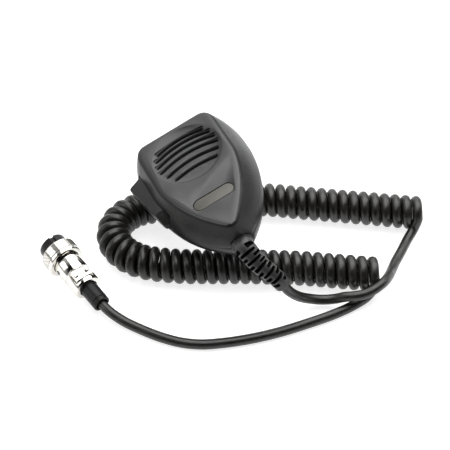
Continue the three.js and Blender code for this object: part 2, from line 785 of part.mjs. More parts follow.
// ---------------------------------------------------------------- the plug, its axis along +Z, front edge of the ring at 0
function plug() {
  const group = new THREE.Group();
  const sides = 32;
  const ringRear = -ringLength;
  const insertSeat = ringRear + ringLip;
  const ringRadius = barrelRadius + ringStand;
  const insertRadius = barrelRadius + insertStep;
  const lipRadius = barrelRadius + gap;
  const insertNose = turned([
    [0, insertSeat],
    [insertRadius, insertSeat],
    [insertRadius, insertProud - 0.4],
    [insertRadius - 0.4, insertProud],
    [0, insertProud],
  ], sides);
  const keyway = box(-1, 1, insertRadius - 1.4, insertRadius + 1, insertProud - 6, insertProud + 1);
  const pinHoles = [];
  for (let i = 0; i < pinHoleCount; i += 1) {
    const angle = (2 * Math.PI * (i + 0.5)) / pinHoleCount;
    const x = pinHoleCircle * Math.cos(angle);
    const y = pinHoleCircle * Math.sin(angle);
    pinHoles.push(rod(x, y, insertProud - 5, insertProud + 1, pinHoleRadius + gap, 10));
    const contact = turnedRing([
      [0.45, insertProud - 4.7],
      [pinHoleRadius, insertProud - 4.7],
      [pinHoleRadius, insertProud - 0.4],
      [0.45, insertProud - 0.4],
    ], 8);
    group.add(piece(`socket_contact_${i + 1}`, contact.translate(x, y, 0), brass));
  }
  group.add(piece("plug_insert", carve(insertNose, [], [keyway, ...pinHoles]), blackPlastic));

  const ringInner = ringRadius - ringWall;
  const ring = turnedRing([
    [ringInner, ringRear + ringLip],
    [lipRadius, ringRear + ringLip - 0.6],
    [lipRadius, ringRear],
    [ringRadius - 0.6, ringRear],
    [ringRadius, ringRear + 0.6],
    [ringRadius, ringRear + 3.6],
    [ringRadius - 0.4, ringRear + 4],
    [ringRadius, ringRear + 4.4],
    [ringRadius, -0.7],
    [ringRadius - 0.7, 0],
    [ringInner, 0],
  ], 40);
  group.add(piece("coupling_ring", ring, nickel));

  const bore = barrelRadius - barrelWall;
  const rear = ringRear - barrelLength;
  const front = insertSeat - gap;
  const barrel = turnedRing([
    [bore, rear + 1.2],
    [sleeveRadius + gap, rear + 1.2],
    [sleeveRadius + gap, rear],
    [barrelRadius - 0.8, rear],
    [barrelRadius, rear + 0.8],
    [barrelRadius, ringRear + ringLip - gap - 1],
    [barrelRadius, front],
    [bore, front],
  ], sides);
  const saddleRear = rear + 2.3;
  const saddleFoot = sleeveRadius + 2 * gap;
  const saddleTop = barrelRadius + saddleRise;
  const saddleMiddle = saddleRear + saddleLength / 2;
  const saddleCut = box(
    -saddleHalfWidth - gap,
    saddleHalfWidth + gap,
    saddleFoot - gap,
    barrelRadius + 1,
    saddleRear - gap,
    saddleRear + saddleLength + gap,
  );
  const clampHoles = [-1, 1].map((side) =>
    rodY(side * saddleScrewX, -1, barrelRadius + 2, saddleMiddle, saddleScrewShank + gap, 10),
  );
  const insertHole = rodX(barrelRadius - 3, barrelRadius + 2, 0, ringRear - 3, 0.8 + gap, 10);
  group.add(piece("plug_barrel", carve(barrel, [], [saddleCut, insertHole]), nickel));

  const saddle = box(-saddleHalfWidth, saddleHalfWidth, saddleFoot, saddleTop, saddleRear, saddleRear + saddleLength);
  group.add(piece("cord_saddle", carve(saddle, [], clampHoles), nickel));
  for (const [label, side] of [["1", -1], ["2", 1]]) {
    const saddleScrew = screw(saddleScrewShank, 1.25, 0.8, saddleTop - saddleFoot + 2 * gap);
    saddleScrew.rotateX(Math.PI / 2).translate(side * saddleScrewX, saddleTop + gap, saddleMiddle);
    group.add(piece(`saddle_screw_${label}`, saddleScrew, nickel));
  }
  const insertScrew = screw(0.8, 1.2, 0.5, 2.2);
  insertScrew.rotateY(-Math.PI / 2).translate(barrelRadius + gap, 0, ringRear - 3);
  group.add(piece("insert_screw", insertScrew, steel));

  const sleeveFront = rear + 4;
  const sleeveRear = sleeveFront - sleeveLength;
  const sleeve = turnedRing([
    [cordRadius + 0.6, sleeveRear],
    [sleeveRadius - 0.6, sleeveRear],
    [sleeveRadius, sleeveRear + 0.6],
    [sleeveRadius, sleeveFront],
    [cordRadius + 0.6, sleeveFront],
  ], 24);
  group.add(piece("plug_sleeve", sleeve, blackRubber));

  group.rotation.z = THREE.MathUtils.degToRad(plugRoll);
  const laid = new THREE.Group();
  laid.add(group);
  const tilt = THREE.MathUtils.degToRad(plugTilt);
  const heading = THREE.MathUtils.degToRad(plugHeading);
  const noseHeight = ringRadius * Math.cos(tilt) + ringLength * Math.sin(tilt) + 0.05;
  laid.rotation.order = "ZXY";
  laid.rotation.set(-Math.PI / 2 + tilt, 0, heading);
  laid.position.set(plugFrontX, plugFrontY, noseHeight - tableDrop);
  return laid;
}

// ---------------------------------------------------------------- the whole part
const part = new THREE.Group();
part.add(microphone());
part.add(cordGroup());
part.add(plug());

export default part;
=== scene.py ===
import json
import logging
import math
from dataclasses import dataclass
from enum import Enum
from functools import cached_property

import bmesh
import bpy
from mathutils import Matrix, Vector

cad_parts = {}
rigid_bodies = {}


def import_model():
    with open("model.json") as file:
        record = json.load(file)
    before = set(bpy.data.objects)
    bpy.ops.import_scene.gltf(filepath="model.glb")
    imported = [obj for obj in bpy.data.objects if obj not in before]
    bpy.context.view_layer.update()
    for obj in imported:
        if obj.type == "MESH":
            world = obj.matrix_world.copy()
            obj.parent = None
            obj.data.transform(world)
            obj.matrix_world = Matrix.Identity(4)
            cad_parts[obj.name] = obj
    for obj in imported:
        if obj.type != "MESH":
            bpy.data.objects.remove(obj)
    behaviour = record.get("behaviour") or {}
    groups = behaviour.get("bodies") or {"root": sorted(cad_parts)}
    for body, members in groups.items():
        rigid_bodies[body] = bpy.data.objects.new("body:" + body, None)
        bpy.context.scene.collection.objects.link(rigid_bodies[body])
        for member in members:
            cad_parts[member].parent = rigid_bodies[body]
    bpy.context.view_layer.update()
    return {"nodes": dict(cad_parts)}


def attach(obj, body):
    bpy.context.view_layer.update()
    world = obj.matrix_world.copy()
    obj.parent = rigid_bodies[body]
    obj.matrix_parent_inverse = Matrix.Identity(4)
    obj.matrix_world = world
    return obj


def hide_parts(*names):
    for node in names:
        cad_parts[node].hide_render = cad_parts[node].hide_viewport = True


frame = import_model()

log = logging.getLogger("microphone")

MM = 0.001
TABLE = -0.038  # height of the table top in the part's frame
LEAN = math.radians(-20.5)  # the microphone rests on its hang stud, right side up
MICROPHONE = (
    Matrix.Translation((0.0078, 0.0256, -0.0136))
    @ Matrix.Rotation(LEAN, 4, "Y")
    @ Matrix.Scale(MM, 4)
)

Ring = list[Vector]
Colour = tuple[float, float, float]


# ---------------------------------------------------------------- shaping
def pick(*objects: bpy.types.Object) -> None:
    """Makes these objects the only selected ones, and the first one active.

    Args:
        objects: The objects to work on.
    """
    for other in bpy.context.view_layer.objects:
        other.select_set(False)
    for obj in objects:
        obj.select_set(True)
    bpy.context.view_layer.objects.active = objects[0]


def loft(name: str, rings: list[Ring], closed: bool = False) -> bpy.types.Object:
    """Extrudes a circle from ring to ring, and shapes each ring as it goes.

    Args:
        name: The new object's name.
        rings: Rings of the same number of points, in order.
        closed: True where the last ring runs back to the first, as round a bore.

    Returns:
        A closed mesh, its faces pointing outwards.
    """
    for other in bpy.context.view_layer.objects:
        other.select_set(False)
    bpy.ops.mesh.primitive_circle_add(vertices=len(rings[0]), radius=1.0, fill_type="NOTHING")
    obj = bpy.context.object
    obj.name = name
    for vertex, point in zip(obj.data.vertices, rings[0]):
        vertex.co = point
    bpy.ops.object.mode_set(mode="EDIT")
    bpy.ops.mesh.select_mode(type="VERT")
    bpy.ops.mesh.select_all(action="SELECT")
    if not closed:
        bpy.ops.mesh.edge_face_add()
        bpy.ops.mesh.select_all(action="SELECT")
    for ring in rings[1:] + (rings[:1] if closed else []):
        if closed:
            bpy.ops.mesh.extrude_edges_move()
        else:
            bpy.ops.mesh.extrude_region_move()
        mesh = bmesh.from_edit_mesh(obj.data)
        fresh = [vertex for vertex in mesh.verts if vertex.select]
        for vertex, point in zip(fresh, ring):
            vertex.co = point
        bmesh.update_edit_mesh(obj.data)
    bpy.ops.mesh.select_all(action="SELECT")
    bpy.ops.mesh.remove_doubles(threshold=0.0005)
    bpy.ops.mesh.normals_make_consistent(inside=False)
    bpy.ops.object.mode_set(mode="OBJECT")
    return obj


def circle(radius: float, height: float, count: int, x: float = 0.0, y: float = 0.0) -> Ring:
    """A level ring of points.

    Args:
        radius: Its radius.
        height: Its place along Z.
        count: How many points.
        x: Its centre's X.
        y: Its centre's Y.

    Returns:
        The points, turning from +X towards +Y.
    """
    turns = [math.tau * step / count for step in range(count)]
    return [Vector((x + radius * math.cos(a), y + radius * math.sin(a), height)) for a in turns]


def arc(radius: float, x: float, y: float, start: float, end: float, steps: int) -> Ring:
    """Part of a circle.

    Args:
        radius: Its radius.
        x: Its centre's X.
        y: Its centre's Y.
        start: Angle of its first point, from +X towards +Y.
        end: Angle of its last point.
        steps: How many steps it takes.

    Returns:
        The points at height 0, both ends included.
    """
    turns = [start + (end - start) * step / steps for step in range(steps + 1)]
    return [Vector((x + radius * math.cos(a), y + radius * math.sin(a), 0)) for a in turns]


def turned(
    name: str,
    profile: list[tuple[float, float]],
    count: int = 64,
    closed: bool = False,
    x: float = 0.0,
    y: float = 0.0,
) -> bpy.types.Object:
    """A piece turned about Z, as on a lathe.

    Args:
        name: The new object's name.
        profile: Pairs of radius and height.
        count: Facets round the axis.
        closed: True where the profile runs back to its first pair.
        x: The axis's X.
        y: The axis's Y.

    Returns:
        The turned mesh.
    """
    return loft(name, [circle(radius, height, count, x, y) for radius, height in profile], closed)


def moved_in(ring: Ring, distance: float, height: float) -> Ring:
    """A ring drawn inwards at another height.

    Args:
        ring: Points that turn from +X towards +Y.
        distance: How far each point moves in; below 0 it moves out.
        height: The new ring's height.

    Returns:
        The new ring.
    """
    moved = []
    for i, point in enumerate(ring):
        along = (ring[(i + 1) % len(ring)] - ring[i - 1]).to_2d().normalized()
        moved.append(Vector((point.x - along.y * distance, point.y + along.x * distance, height)))
    return moved


def blended(a: Ring, b: Ring, share: float) -> Ring:
    """The ring a share of the way from one ring to another."""
    return [p.lerp(q, share) for p, q in zip(a, b)]


def rounded_plate(
    name: str, outline: Ring, low: float, high: float, edge: float, foot: float | None = None
) -> bpy.types.Object:
    """A plate with rounded upper and lower edges.

    Args:
        name: The new object's name.
        outline: Its outline, turning from +X towards +Y.
        low: Height of its underside.
        high: Height of its top.
        edge: Radius of its upper edge.
        foot: Radius of its lower edge, where that differs.

    Returns:
        The plate.
    """
    lower = edge if foot is None else foot
    rings = []
    for step in range(4):
        angle = math.pi / 6 * step
        rings.append(moved_in(outline, lower * (1 - math.sin(angle)), low + lower * (1 - math.cos(angle))))
    for step in range(4):
        angle = math.pi / 6 * step
        rings.append(moved_in(outline, edge * (1 - math.cos(angle)), high - edge * (1 - math.sin(angle))))
    return loft(name, rings)


def softened(corners: list[tuple[float, float, float]], steps: int = 4) -> Ring:
    """An outline whose corners are rounded.

    Args:
        corners: X, Y and rounding of each corner, turning from +X towards +Y.
        steps: Points along each rounding, less one.

    Returns:
        The outline at height 0.
    """
    ring = []
    for i, (x, y, rounding) in enumerate(corners):
        here = Vector((x, y, 0))
        before = Vector((*corners[i - 1][:2], 0)) - here
        after = Vector((*corners[(i + 1) % len(corners)][:2], 0)) - here
        start = here + before.normalized() * min(rounding, before.length * 0.49)
        end = here + after.normalized() * min(rounding, after.length * 0.49)
        for step in range(steps + 1):
            t = step / steps
            ring.append(start.lerp(here, t).lerp(here.lerp(end, t), t))
    return ring


def stadium(length: float, width: float, y: float = 0.0, steps: int = 12) -> Ring:
    """A bar with round ends, along X.

    Args:
        length: From end to end.
        width: Across it.
        y: Its middle's Y.
        steps: Points along each round end, less one.

    Returns:
        Its outline at height 0.
    """
    radius = width / 2
    straight = length / 2 - radius
    quarter = math.pi / 2
    right = arc(radius, straight, y, -quarter, quarter, steps)
    return right + arc(radius, -straight, y, quarter, 3 * quarter, steps)


def block(name: str, low: Vector, high: Vector, edge: float = 0.2) -> bpy.types.Object:
    """A bevelled block.

    Args:
        name: The new object's name.
        low: Its lowest corner.
        high: Its highest corner.
        edge: Width of its bevels.

    Returns:
        The block.
    """
    for other in bpy.context.view_layer.objects:
        other.select_set(False)
    bpy.ops.mesh.primitive_cube_add(size=1.0)
    obj = bpy.context.object
    obj.name = name
    for vertex in obj.data.vertices:
        share = vertex.co + Vector((0.5, 0.5, 0.5))
        vertex.co = Vector([a + (b - a) * s for a, b, s in zip(low, high, share)])
    bpy.ops.object.mode_set(mode="EDIT")
    bpy.ops.mesh.select_all(action="SELECT")
    bpy.ops.mesh.bevel(offset=edge, segments=3, affect="EDGES")
    bpy.ops.mesh.normals_make_consistent(inside=False)
    bpy.ops.object.mode_set(mode="OBJECT")
    return obj


def carve(
    obj: bpy.types.Object, tools: list[bpy.types.Object], operation: str = "DIFFERENCE"
) -> bpy.types.Object:
    """Cuts or joins other shapes with a piece, which takes them up.

    Args:
        obj: The piece.
        tools: Shapes that are used up.
        operation: DIFFERENCE to cut them away, or UNION to join them on.

    Returns:
        The piece.
    """
    for tool in tools:
        pick(obj)
        modifier = obj.modifiers.new("carve", "BOOLEAN")
        modifier.operation = operation
        modifier.solver = "EXACT"
        modifier.object = tool
        bpy.ops.object.modifier_apply(modifier=modifier.name)
        bpy.data.objects.remove(tool)
    return obj


def twin(obj: bpy.types.Object, name: str, move: Matrix) -> bpy.types.Object:
    """A copy of a piece with a mesh of its own.

    Args:
        obj: The piece to copy.
        name: The copy's name.
        move: Applied to the copy's mesh.

    Returns:
        The copy.
    """
    copy = obj.copy()
    copy.data = obj.data.copy()
    copy.name = name
    bpy.context.scene.collection.objects.link(copy)
    copy.data.transform(move)
    return copy


def smooth_line(points: list[Vector], spacing: float) -> list[Vector]:
    """A smooth line through points, each stretch eased by the root of its length.

    Args:
        points: The points it passes through.
        spacing: About how far apart the new points are.

    Returns:
        Points along the line, both ends included.
    """
    first = points[0] * 2 - points[1]
    last = points[-1] * 2 - points[-2]
    chain = [first, *points, last]
    line = []
    for i in range(1, len(chain) - 2):
        p = chain[i - 1 : i + 3]
        gaps = [max(math.sqrt((b - a).length), 1e-6) for a, b in zip(p, p[1:])]
        at = [0.0, gaps[0], gaps[0] + gaps[1], sum(gaps)]
        steps = max(2, round((p[2] - p[1]).length / spacing))
        for step in range(steps):
            t = at[1] + gaps[1] * step / steps
            a1 = p[0].lerp(p[1], t / at[1])
            a2 = p[1].lerp(p[2], (t - at[1]) / gaps[1])
            a3 = p[2].lerp(p[3], (t - at[2]) / gaps[2])
            b1 = a1.lerp(a2, t / at[2])
            b2 = a2.lerp(a3, (t - at[1]) / (at[3] - at[1]))
            line.append(b1.lerp(b2, (t - at[1]) / gaps[1]))
    line.append(points[-1].copy())
    return line


def length_of(line: list[Vector]) -> float:
    """The length of a line of points."""
    return sum((b - a).length for a, b in zip(line, line[1:]))


def at_length(line: list[Vector], distance: float) -> tuple[Vector, Vector]:
    """A place on a line, which runs on straight past its ends.

    Args:
        line: Points along the line.
        distance: How far along it.

    Returns:
        The place and the direction there.
    """
    left = distance
    for a, b in zip(line, line[1:]):
        step = (b - a).length
        if left <= step or b is line[-1]:
            return a + (b - a) * (left / step), (b - a).normalized()
        left -= step
    return line[-1], (line[-1] - line[-2]).normalized()


# ---------------------------------------------------------------- finishes
class Graph:
    """A material's nodes, with short ways to add the usual ones."""

    def __init__(self, name: str) -> None:
        """Starts a material that holds one shader.

        Args:
            name: The material's name.
        """
        self.material = bpy.data.materials.new(name)
        self.material.use_nodes = True
        self.tree = self.material.node_tree
        self.shader = self.tree.nodes["Principled BSDF"]
        self.place = self.add("ShaderNodeTexCoord").outputs["Object"]

    def add(self, kind: str, **settings: object) -> bpy.types.Node:
        """Adds a node and sets its properties.

        Args:
            kind: The node's type.
            **settings: Its properties.

        Returns:
            The node.
        """
        node = self.tree.nodes.new(kind)
        for name, value in settings.items():
            setattr(node, name, value)
        return node

    def put(self, socket: bpy.types.NodeSocket, value: object) -> None:
        """Links a socket to a value, or sets it where the value is plain.

        Args:
            socket: The socket that takes it.
            value: Another node's output, or a number or tuple.
        """
        if isinstance(value, bpy.types.NodeSocket):
            self.tree.links.new(value, socket)
        else:
            socket.default_value = value

    def noise(
        self,
        size: float,
        detail: float = 3.0,
        stretch: Colour | None = None,
        place: bpy.types.NodeSocket | None = None,
    ) -> bpy.types.NodeSocket:
        """Cloudy noise.

        Args:
            size: Size of its clouds in millimetres.
            detail: How many finer layers it has.
            stretch: Scale along each axis, where they differ.
            place: Where it is read, if not at the object's own coordinates.

        Returns:
            A value from 0 to 1.
        """
        where = place or self.place
        if stretch:
            mapping = self.add("ShaderNodeMapping")
            self.put(mapping.inputs["Vector"], where)
            self.put(mapping.inputs["Scale"], stretch)
            where = mapping.outputs["Vector"]
        node = self.add("ShaderNodeTexNoise")
        self.put(node.inputs["Vector"], where)
        self.put(node.inputs["Scale"], 1 / (size * MM))
        self.put(node.inputs["Detail"], detail)
        return node.outputs["Fac"]

    def span(
        self, value: bpy.types.NodeSocket, low: float, high: float, start: float = 0.3, end: float = 0.7
    ) -> bpy.types.NodeSocket:
        """Carries a value from one range to another.

        Args:
            value: The value.
            low: What the start of the range becomes.
            high: What the end of the range becomes.
            start: Start of the range that is read.
            end: End of the range that is read.

        Returns:
            The new value.
        """
        node = self.add("ShaderNodeMapRange")
        self.put(node.inputs["Value"], value)
        self.put(node.inputs["From Min"], start)
        self.put(node.inputs["From Max"], end)
        self.put(node.inputs["To Min"], low)
        self.put(node.inputs["To Max"], high)
        return node.outputs["Result"]

    def sum(self, a: object, b: object, operation: str = "ADD") -> bpy.types.NodeSocket:
        """One step of arithmetic on two values.

        Args:
            a: The first value.
            b: The second value.
            operation: What is done with them.

        Returns:
            The result.
        """
        node = self.add("ShaderNodeMath", operation=operation)
        self.put(node.inputs[0], a)
        self.put(node.inputs[1], b)
        return node.outputs["Value"]

    def mix(self, share: object, a: object, b: object) -> bpy.types.NodeSocket:
        """A colour between two others.

        Args:
            share: How far from the first colour to the second.
            a: The first colour.
            b: The second colour.

        Returns:
            The mixed colour.
        """
        node = self.add("ShaderNodeMix", data_type="RGBA")
        self.put(node.inputs[0], share)
        self.put(node.inputs[6], (*a, 1.0) if isinstance(a, tuple) else a)
        self.put(node.inputs[7], (*b, 1.0) if isinstance(b, tuple) else b)
        return node.outputs[2]

    def relief(self, height: bpy.types.NodeSocket, depth: float, strength: float = 1.0) -> None:
        """Raises the surface by a height.

        Args:
            height: A value from 0 to 1.
            depth: Depth in millimetres that 1 stands for.
            strength: How strongly it shows.
        """
        bump = self.add("ShaderNodeBump")
        self.put(bump.inputs["Height"], height)
        self.put(bump.inputs["Distance"], depth * MM)
        self.put(bump.inputs["Strength"], strength)
        if self.shader.inputs["Normal"].is_linked:
            self.put(bump.inputs["Normal"], self.shader.inputs["Normal"].links[0].from_socket)
        self.put(self.shader.inputs["Normal"], bump.outputs["Normal"])


def tinted(colour: Colour, factor: float) -> Colour:
    """A colour made lighter or darker by a factor."""
    return tuple(channel * factor for channel in colour)


@dataclass(frozen=True)
class Moulding:
    """Moulded plastic or rubber: fine grain, soft mottling, handling wear on its edges."""

    name: str
    colour: Colour
    roughness: float
    grain_size: float = 0.16
    grain_depth: float = 0.012
    mottle: float = 0.12
    wear: float = 0.35
    sheen: float = 0.0
    specular: float = 0.5

    def material(self) -> bpy.types.Material:
        """Builds the material.

        Returns:
            A new material.
        """
        g = Graph(self.name)
        cloud = g.span(g.noise(9.0, 4.0), 0.0, 1.0)
        base = g.mix(cloud, tinted(self.colour, 1 - self.mottle), tinted(self.colour, 1 + self.mottle))
        specks = g.noise(self.grain_size * 1.6, 2.0)
        flecked = g.mix(g.span(specks, 0.0, 0.4, 0.55, 0.8), base, tinted(self.colour, 1.7))
        point = g.add("ShaderNodeNewGeometry").outputs["Pointiness"]
        edge = g.span(point, 0.0, 1.0, 0.53, 0.62)
        patches = g.span(g.noise(2.4, 4.0), 0.2, 1.0, 0.4, 0.65)
        worn = g.sum(g.sum(edge, patches, "MULTIPLY"), self.wear, "MULTIPLY")
        pale = tuple(channel * 2.2 + 0.02 for channel in self.colour)
        g.put(g.shader.inputs["Base Color"], g.mix(worn, flecked, pale))
        smears = g.span(g.noise(14.0, 5.0), -0.05, 0.05)
        rough = g.sum(g.span(specks, self.roughness - 0.04, self.roughness + 0.06), smears)
        g.put(g.shader.inputs["Roughness"], g.sum(rough, g.sum(worn, 0.12, "MULTIPLY"), "SUBTRACT"))
        g.shader.inputs["Specular IOR Level"].default_value = self.specular
        if self.sheen:
            g.shader.inputs["Sheen Weight"].default_value = self.sheen
            g.shader.inputs["Sheen Roughness"].default_value = 0.5
        g.relief(g.noise(self.grain_size, 3.0), self.grain_depth, 0.6)
        g.relief(g.noise(3.5, 2.0), 0.02, 0.25)
        return g.material


@dataclass(frozen=True)
class Metal:
    """Plated or plain metal: slight tarnish, hair scratches, smudges in its gloss, and where set, painted
    shade darkening its hollows.
    """

    name: str
    colour: Colour
    roughness: float
    scratches: float = 0.08
    tarnish: float = 0.25
    painted_hollow_shade: float = 0.0

    def material(self) -> bpy.types.Material:
        """Builds the material.

        Returns:
            A new material.
        """
        g = Graph(self.name)
        dull = tuple(channel * factor for channel, factor in zip(self.colour, (0.72, 0.68, 0.6)))
        cloud = g.span(g.noise(4.0, 5.0), 0.0, self.tarnish, 0.45, 0.75)
        point = g.add("ShaderNodeNewGeometry").outputs["Pointiness"]
        # darker colour in concave places, such as the knurl's grooves: painted shade
        hollow = g.span(point, self.painted_hollow_shade, 0.0, 0.42, 0.495)
        plated = g.mix(cloud, self.colour, dull)
        g.put(g.shader.inputs["Base Color"], g.mix(hollow, plated, tinted(self.colour, 0.12)))
        g.shader.inputs["Metallic"].default_value = 1.0
        hair = g.noise(0.5, 4.0, stretch=(1.0, 0.12, 1.0))
        smudge = g.span(g.noise(5.0, 4.0), -0.03, 0.06)
        fine = g.span(hair, self.roughness, self.roughness + self.scratches, 0.5, 0.72)
        g.put(g.shader.inputs["Roughness"], g.sum(fine, smudge))
        g.relief(hair, 0.003, 0.35)
        return g.material


@dataclass(frozen=True)
class Weave:
    """Dark acoustic cloth: threads over and under in two directions."""

    name: str
    colour: Colour
    pitch: float = 0.6

    def material(self) -> bpy.types.Material:
        """Builds the material.

        Returns:
            A new material.
        """
        g = Graph(self.name)
        threads = []
        for direction in ("X", "Y"):
            wave = g.add("ShaderNodeTexWave", bands_direction=direction)
            g.put(wave.inputs["Vector"], g.place)
            g.put(wave.inputs["Scale"], 0.314 / (self.pitch * MM))
            g.put(wave.inputs["Distortion"], 0.6)
            threads.append(wave.outputs["Fac"])
        height = g.sum(threads[0], threads[1], "MULTIPLY")
        fuzz = g.noise(0.25, 3.0)
        # darker where the threads dip and lighter on their crests: painted shade and painted light across
        # the weave
        shade = g.span(g.sum(height, g.sum(fuzz, 0.5, "MULTIPLY")), 0.0, 1.0, 0.1, 1.1)
        colour = g.mix(shade, tinted(self.colour, 0.3), tinted(self.colour, 1.6))
        g.put(g.shader.inputs["Base Color"], colour)
        g.shader.inputs["Roughness"].default_value = 0.95
        g.shader.inputs["Sheen Weight"].default_value = 0.2
        g.relief(height, 0.12, 0.8)
        return g.material


@dataclass(frozen=True)
class Jacket:
    """The cord's soft jacket: satin, faintly dusty, with fine marks from the mould and from wear."""

    name: str
    colour: Colour
    roughness: float

    def material(self) -> bpy.types.Material:
        """Builds the material.

        Returns:
            A new material.
        """
        g = Graph(self.name)
        cloud = g.span(g.noise(6.0, 5.0), 0.0, 1.0)
        base = g.mix(cloud, tinted(self.colour, 0.8), tinted(self.colour, 1.25))
        dust = g.span(g.noise(1.1, 6.0), 0.0, 0.28, 0.55, 0.8)
        g.put(g.shader.inputs["Base Color"], g.mix(dust, base, (0.04, 0.036, 0.03)))
        rough = g.span(g.noise(2.2, 4.0), self.roughness - 0.07, self.roughness + 0.09)
        g.put(g.shader.inputs["Roughness"], g.sum(rough, g.sum(dust, 0.25, "MULTIPLY")))
        g.shader.inputs["Specular IOR Level"].default_value = 0.5
        g.relief(g.noise(0.3, 3.0), 0.012, 0.5)
        g.relief(g.noise(1.6, 3.0), 0.03, 0.35)
        return g.material


@dataclass(frozen=True)
class Laminate:
    """A circuit board's lacquer, with copper tracks under it."""

    name: str
    colour: Colour

    def material(self) -> bpy.types.Material:
        """Builds the material.

        Returns:
            A new material.
        """
        g = Graph(self.name)
        cells = g.add("ShaderNodeTexVoronoi", feature="DISTANCE_TO_EDGE", distance="CHEBYCHEV")
        g.put(cells.inputs["Vector"], g.place)
        g.put(cells.inputs["Scale"], 1 / (3.2 * MM))
        tracks = g.span(cells.outputs["Distance"], 1.0, 0.0, 0.05, 0.08)
        lacquer = g.mix(g.noise(2.0, 3.0), tinted(self.colour, 0.85), tinted(self.colour, 1.15))
        g.put(g.shader.inputs["Base Color"], g.mix(tracks, lacquer, tinted(self.colour, 2.1)))
        g.put(g.shader.inputs["Roughness"], g.span(g.noise(1.0, 3.0), 0.25, 0.4))
        g.relief(tracks, 0.035, 0.7)
        return g.material


class Finish(Enum):
    """What each of the object's pieces is made of, keyed by the record's material slots. Two entries are
    darker copies that paint shade: one on the front shell's walls, one on the floors of the boot's slots.
    """

    FACE = ("face_plastic", Moulding("face plastic", (0.016, 0.016, 0.0165), 0.33, mottle=0.06))
    # the walls take a darker copy of the face plastic: painted shade, not a different plastic
    WALL = (
        "face_plastic",
        Moulding("wall plastic painted shade", (0.009, 0.009, 0.0095), 0.3, mottle=0.08, specular=0.16),
    )
    SHELL = (
        "shell_plastic",
        Moulding("shell plastic", (0.009, 0.009, 0.0092), 0.32, mottle=0.08, specular=0.2),
    )
    LEVER = (
        "lever_plastic",
        Moulding("lever plastic", (0.012, 0.012, 0.0115), 0.42, mottle=0.08, specular=0.3),
    )
    BADGE = (
        "badge",
        Moulding("badge lacquer", (0.05, 0.047, 0.036), 0.36, grain_depth=0.004, mottle=0.05, wear=0.1),
    )
    CLOTH = ("grille_cloth", Weave("grille cloth", (0.012, 0.012, 0.012)))
    RUBBER = (
        "rubber",
        Moulding("black rubber", (0.0065, 0.0065, 0.0063), 0.4, grain_size=0.22, wear=0.12, specular=0.2),
    )
    BOOT = ("rubber", Moulding("boot rubber", (0.022, 0.022, 0.0215), 0.4, grain_size=0.22, wear=0.25))
    # near-black copy of the boot rubber for the floors of the boot's slots: painted shade
    HOLLOW = ("rubber", Moulding("painted slot shade", (0.002, 0.002, 0.002), 0.8, wear=0.0, specular=0.05))
    JACKET = ("cord_jacket", Jacket("cord jacket", (0.008, 0.0074, 0.0066), 0.34))
    # the nickel's hollows, the knurl's grooves among them, are darkened with painted shade
    NICKEL = ("nickel", Metal("bright nickel", (0.74, 0.72, 0.68), 0.07, scratches=0.05, painted_hollow_shade=0.9))
    STEEL = ("steel", Metal("plain steel", (0.62, 0.62, 0.62), 0.26, scratches=0.14))
    BRASS = ("brass", Metal("brass", (0.74, 0.52, 0.24), 0.24, scratches=0.1))
    BOARD = ("board", Laminate("board lacquer", (0.02, 0.09, 0.045)))
    BLACK = (
        "black_moulding",
        Moulding("black moulding", (0.008, 0.008, 0.0082), 0.34, wear=0.12, specular=0.2),
    )

    @property
    def slot(self) -> str:
        """The record's name for this finish."""
        return self.value[0]

    @property
    def material(self) -> bpy.types.Material:
        """The material, built the first time it is asked for."""
        recipe = self.value[1]
        return bpy.data.materials.get(recipe.name) or recipe.material()


# ---------------------------------------------------------------- putting a piece in place
def settle(
    obj: bpy.types.Object,
    place: Matrix,
    finish: Finish,
    body: str,
    nodes: list[str],
    angle: float = 34.0,
) -> bpy.types.Object:
    """Puts a finished piece in its place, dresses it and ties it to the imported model.

    Args:
        obj: The piece, modelled in millimetres in its own frame.
        place: From that frame to the part's.
        finish: What it is made of.
        body: The body it rides on.
        nodes: The CAD nodes it stands for.
        angle: Edges sharper than this many degrees stay sharp.

    Returns:
        The piece.
    """
    obj.matrix_world = place
    pick(obj)
    bpy.ops.object.transform_apply(location=True, rotation=True, scale=True)
    bpy.ops.object.shade_smooth_by_angle(angle=math.radians(angle))
    obj.data.materials.clear()
    obj.data.materials.append(finish.material)
    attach(obj, body)
    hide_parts(*nodes)
    log.info("%s: %d faces on %s", obj.name, len(obj.data.polygons), body)
    return obj


def second_finish(obj: bpy.types.Object, finish: Finish, chosen: list[bool]) -> None:
    """Gives some of a piece's polygons another finish.

    Args:
        obj: The piece, already dressed in its first finish.
        finish: The other finish.
        chosen: For each polygon, whether it takes it.
    """
    obj.data.materials.append(finish.material)
    for polygon, is_chosen in zip(obj.data.polygons, chosen):
        polygon.material_index = int(is_chosen)


# ---------------------------------------------------------------- the case
@dataclass(frozen=True)
class Shield:
    """The microphone's outline: flat top, straight sides, flanks that close on a round tip."""

    half_width: float
    top: float
    corner: float
    corner_drop: float
    shoulder: float
    flank: tuple[float, float]
    tip_half: float
    tip_side: float
    tip: float

    def ring(self, steps: int = 14) -> Ring:
        """The outline at height 0.

        Args:
            steps: Points along each curved stretch.

        Returns:
            Points that turn from +X towards +Y.
        """
        w, t, c, d = self.half_width, self.top, self.corner, self.corner_drop
        x, y = self.flank
        pull_of_tip = 2 * self.tip - self.tip_side
        bends = [
            ((w, t - d), (w, t), (w - c, t)),
            ((c - w, t), (-w, t), (-w, t - d)),
            ((-w, self.shoulder), (-x, y), (-self.tip_half, self.tip_side)),
            ((-self.tip_half, self.tip_side), (0, pull_of_tip), (self.tip_half, self.tip_side)),
            ((self.tip_half, self.tip_side), (x, y), (w, self.shoulder)),
        ]
        ring: Ring = []
        for start, pull, end in bends:
            a, b, c2 = (Vector((*point, 0)) for point in (start, pull, end))
            for step in range(steps + 1):
                share = step / steps
                point = a.lerp(b, share).lerp(b.lerp(c2, share), share)
                if not ring or (point - ring[-1]).length > 0.01:
                    ring.append(point)
        return ring


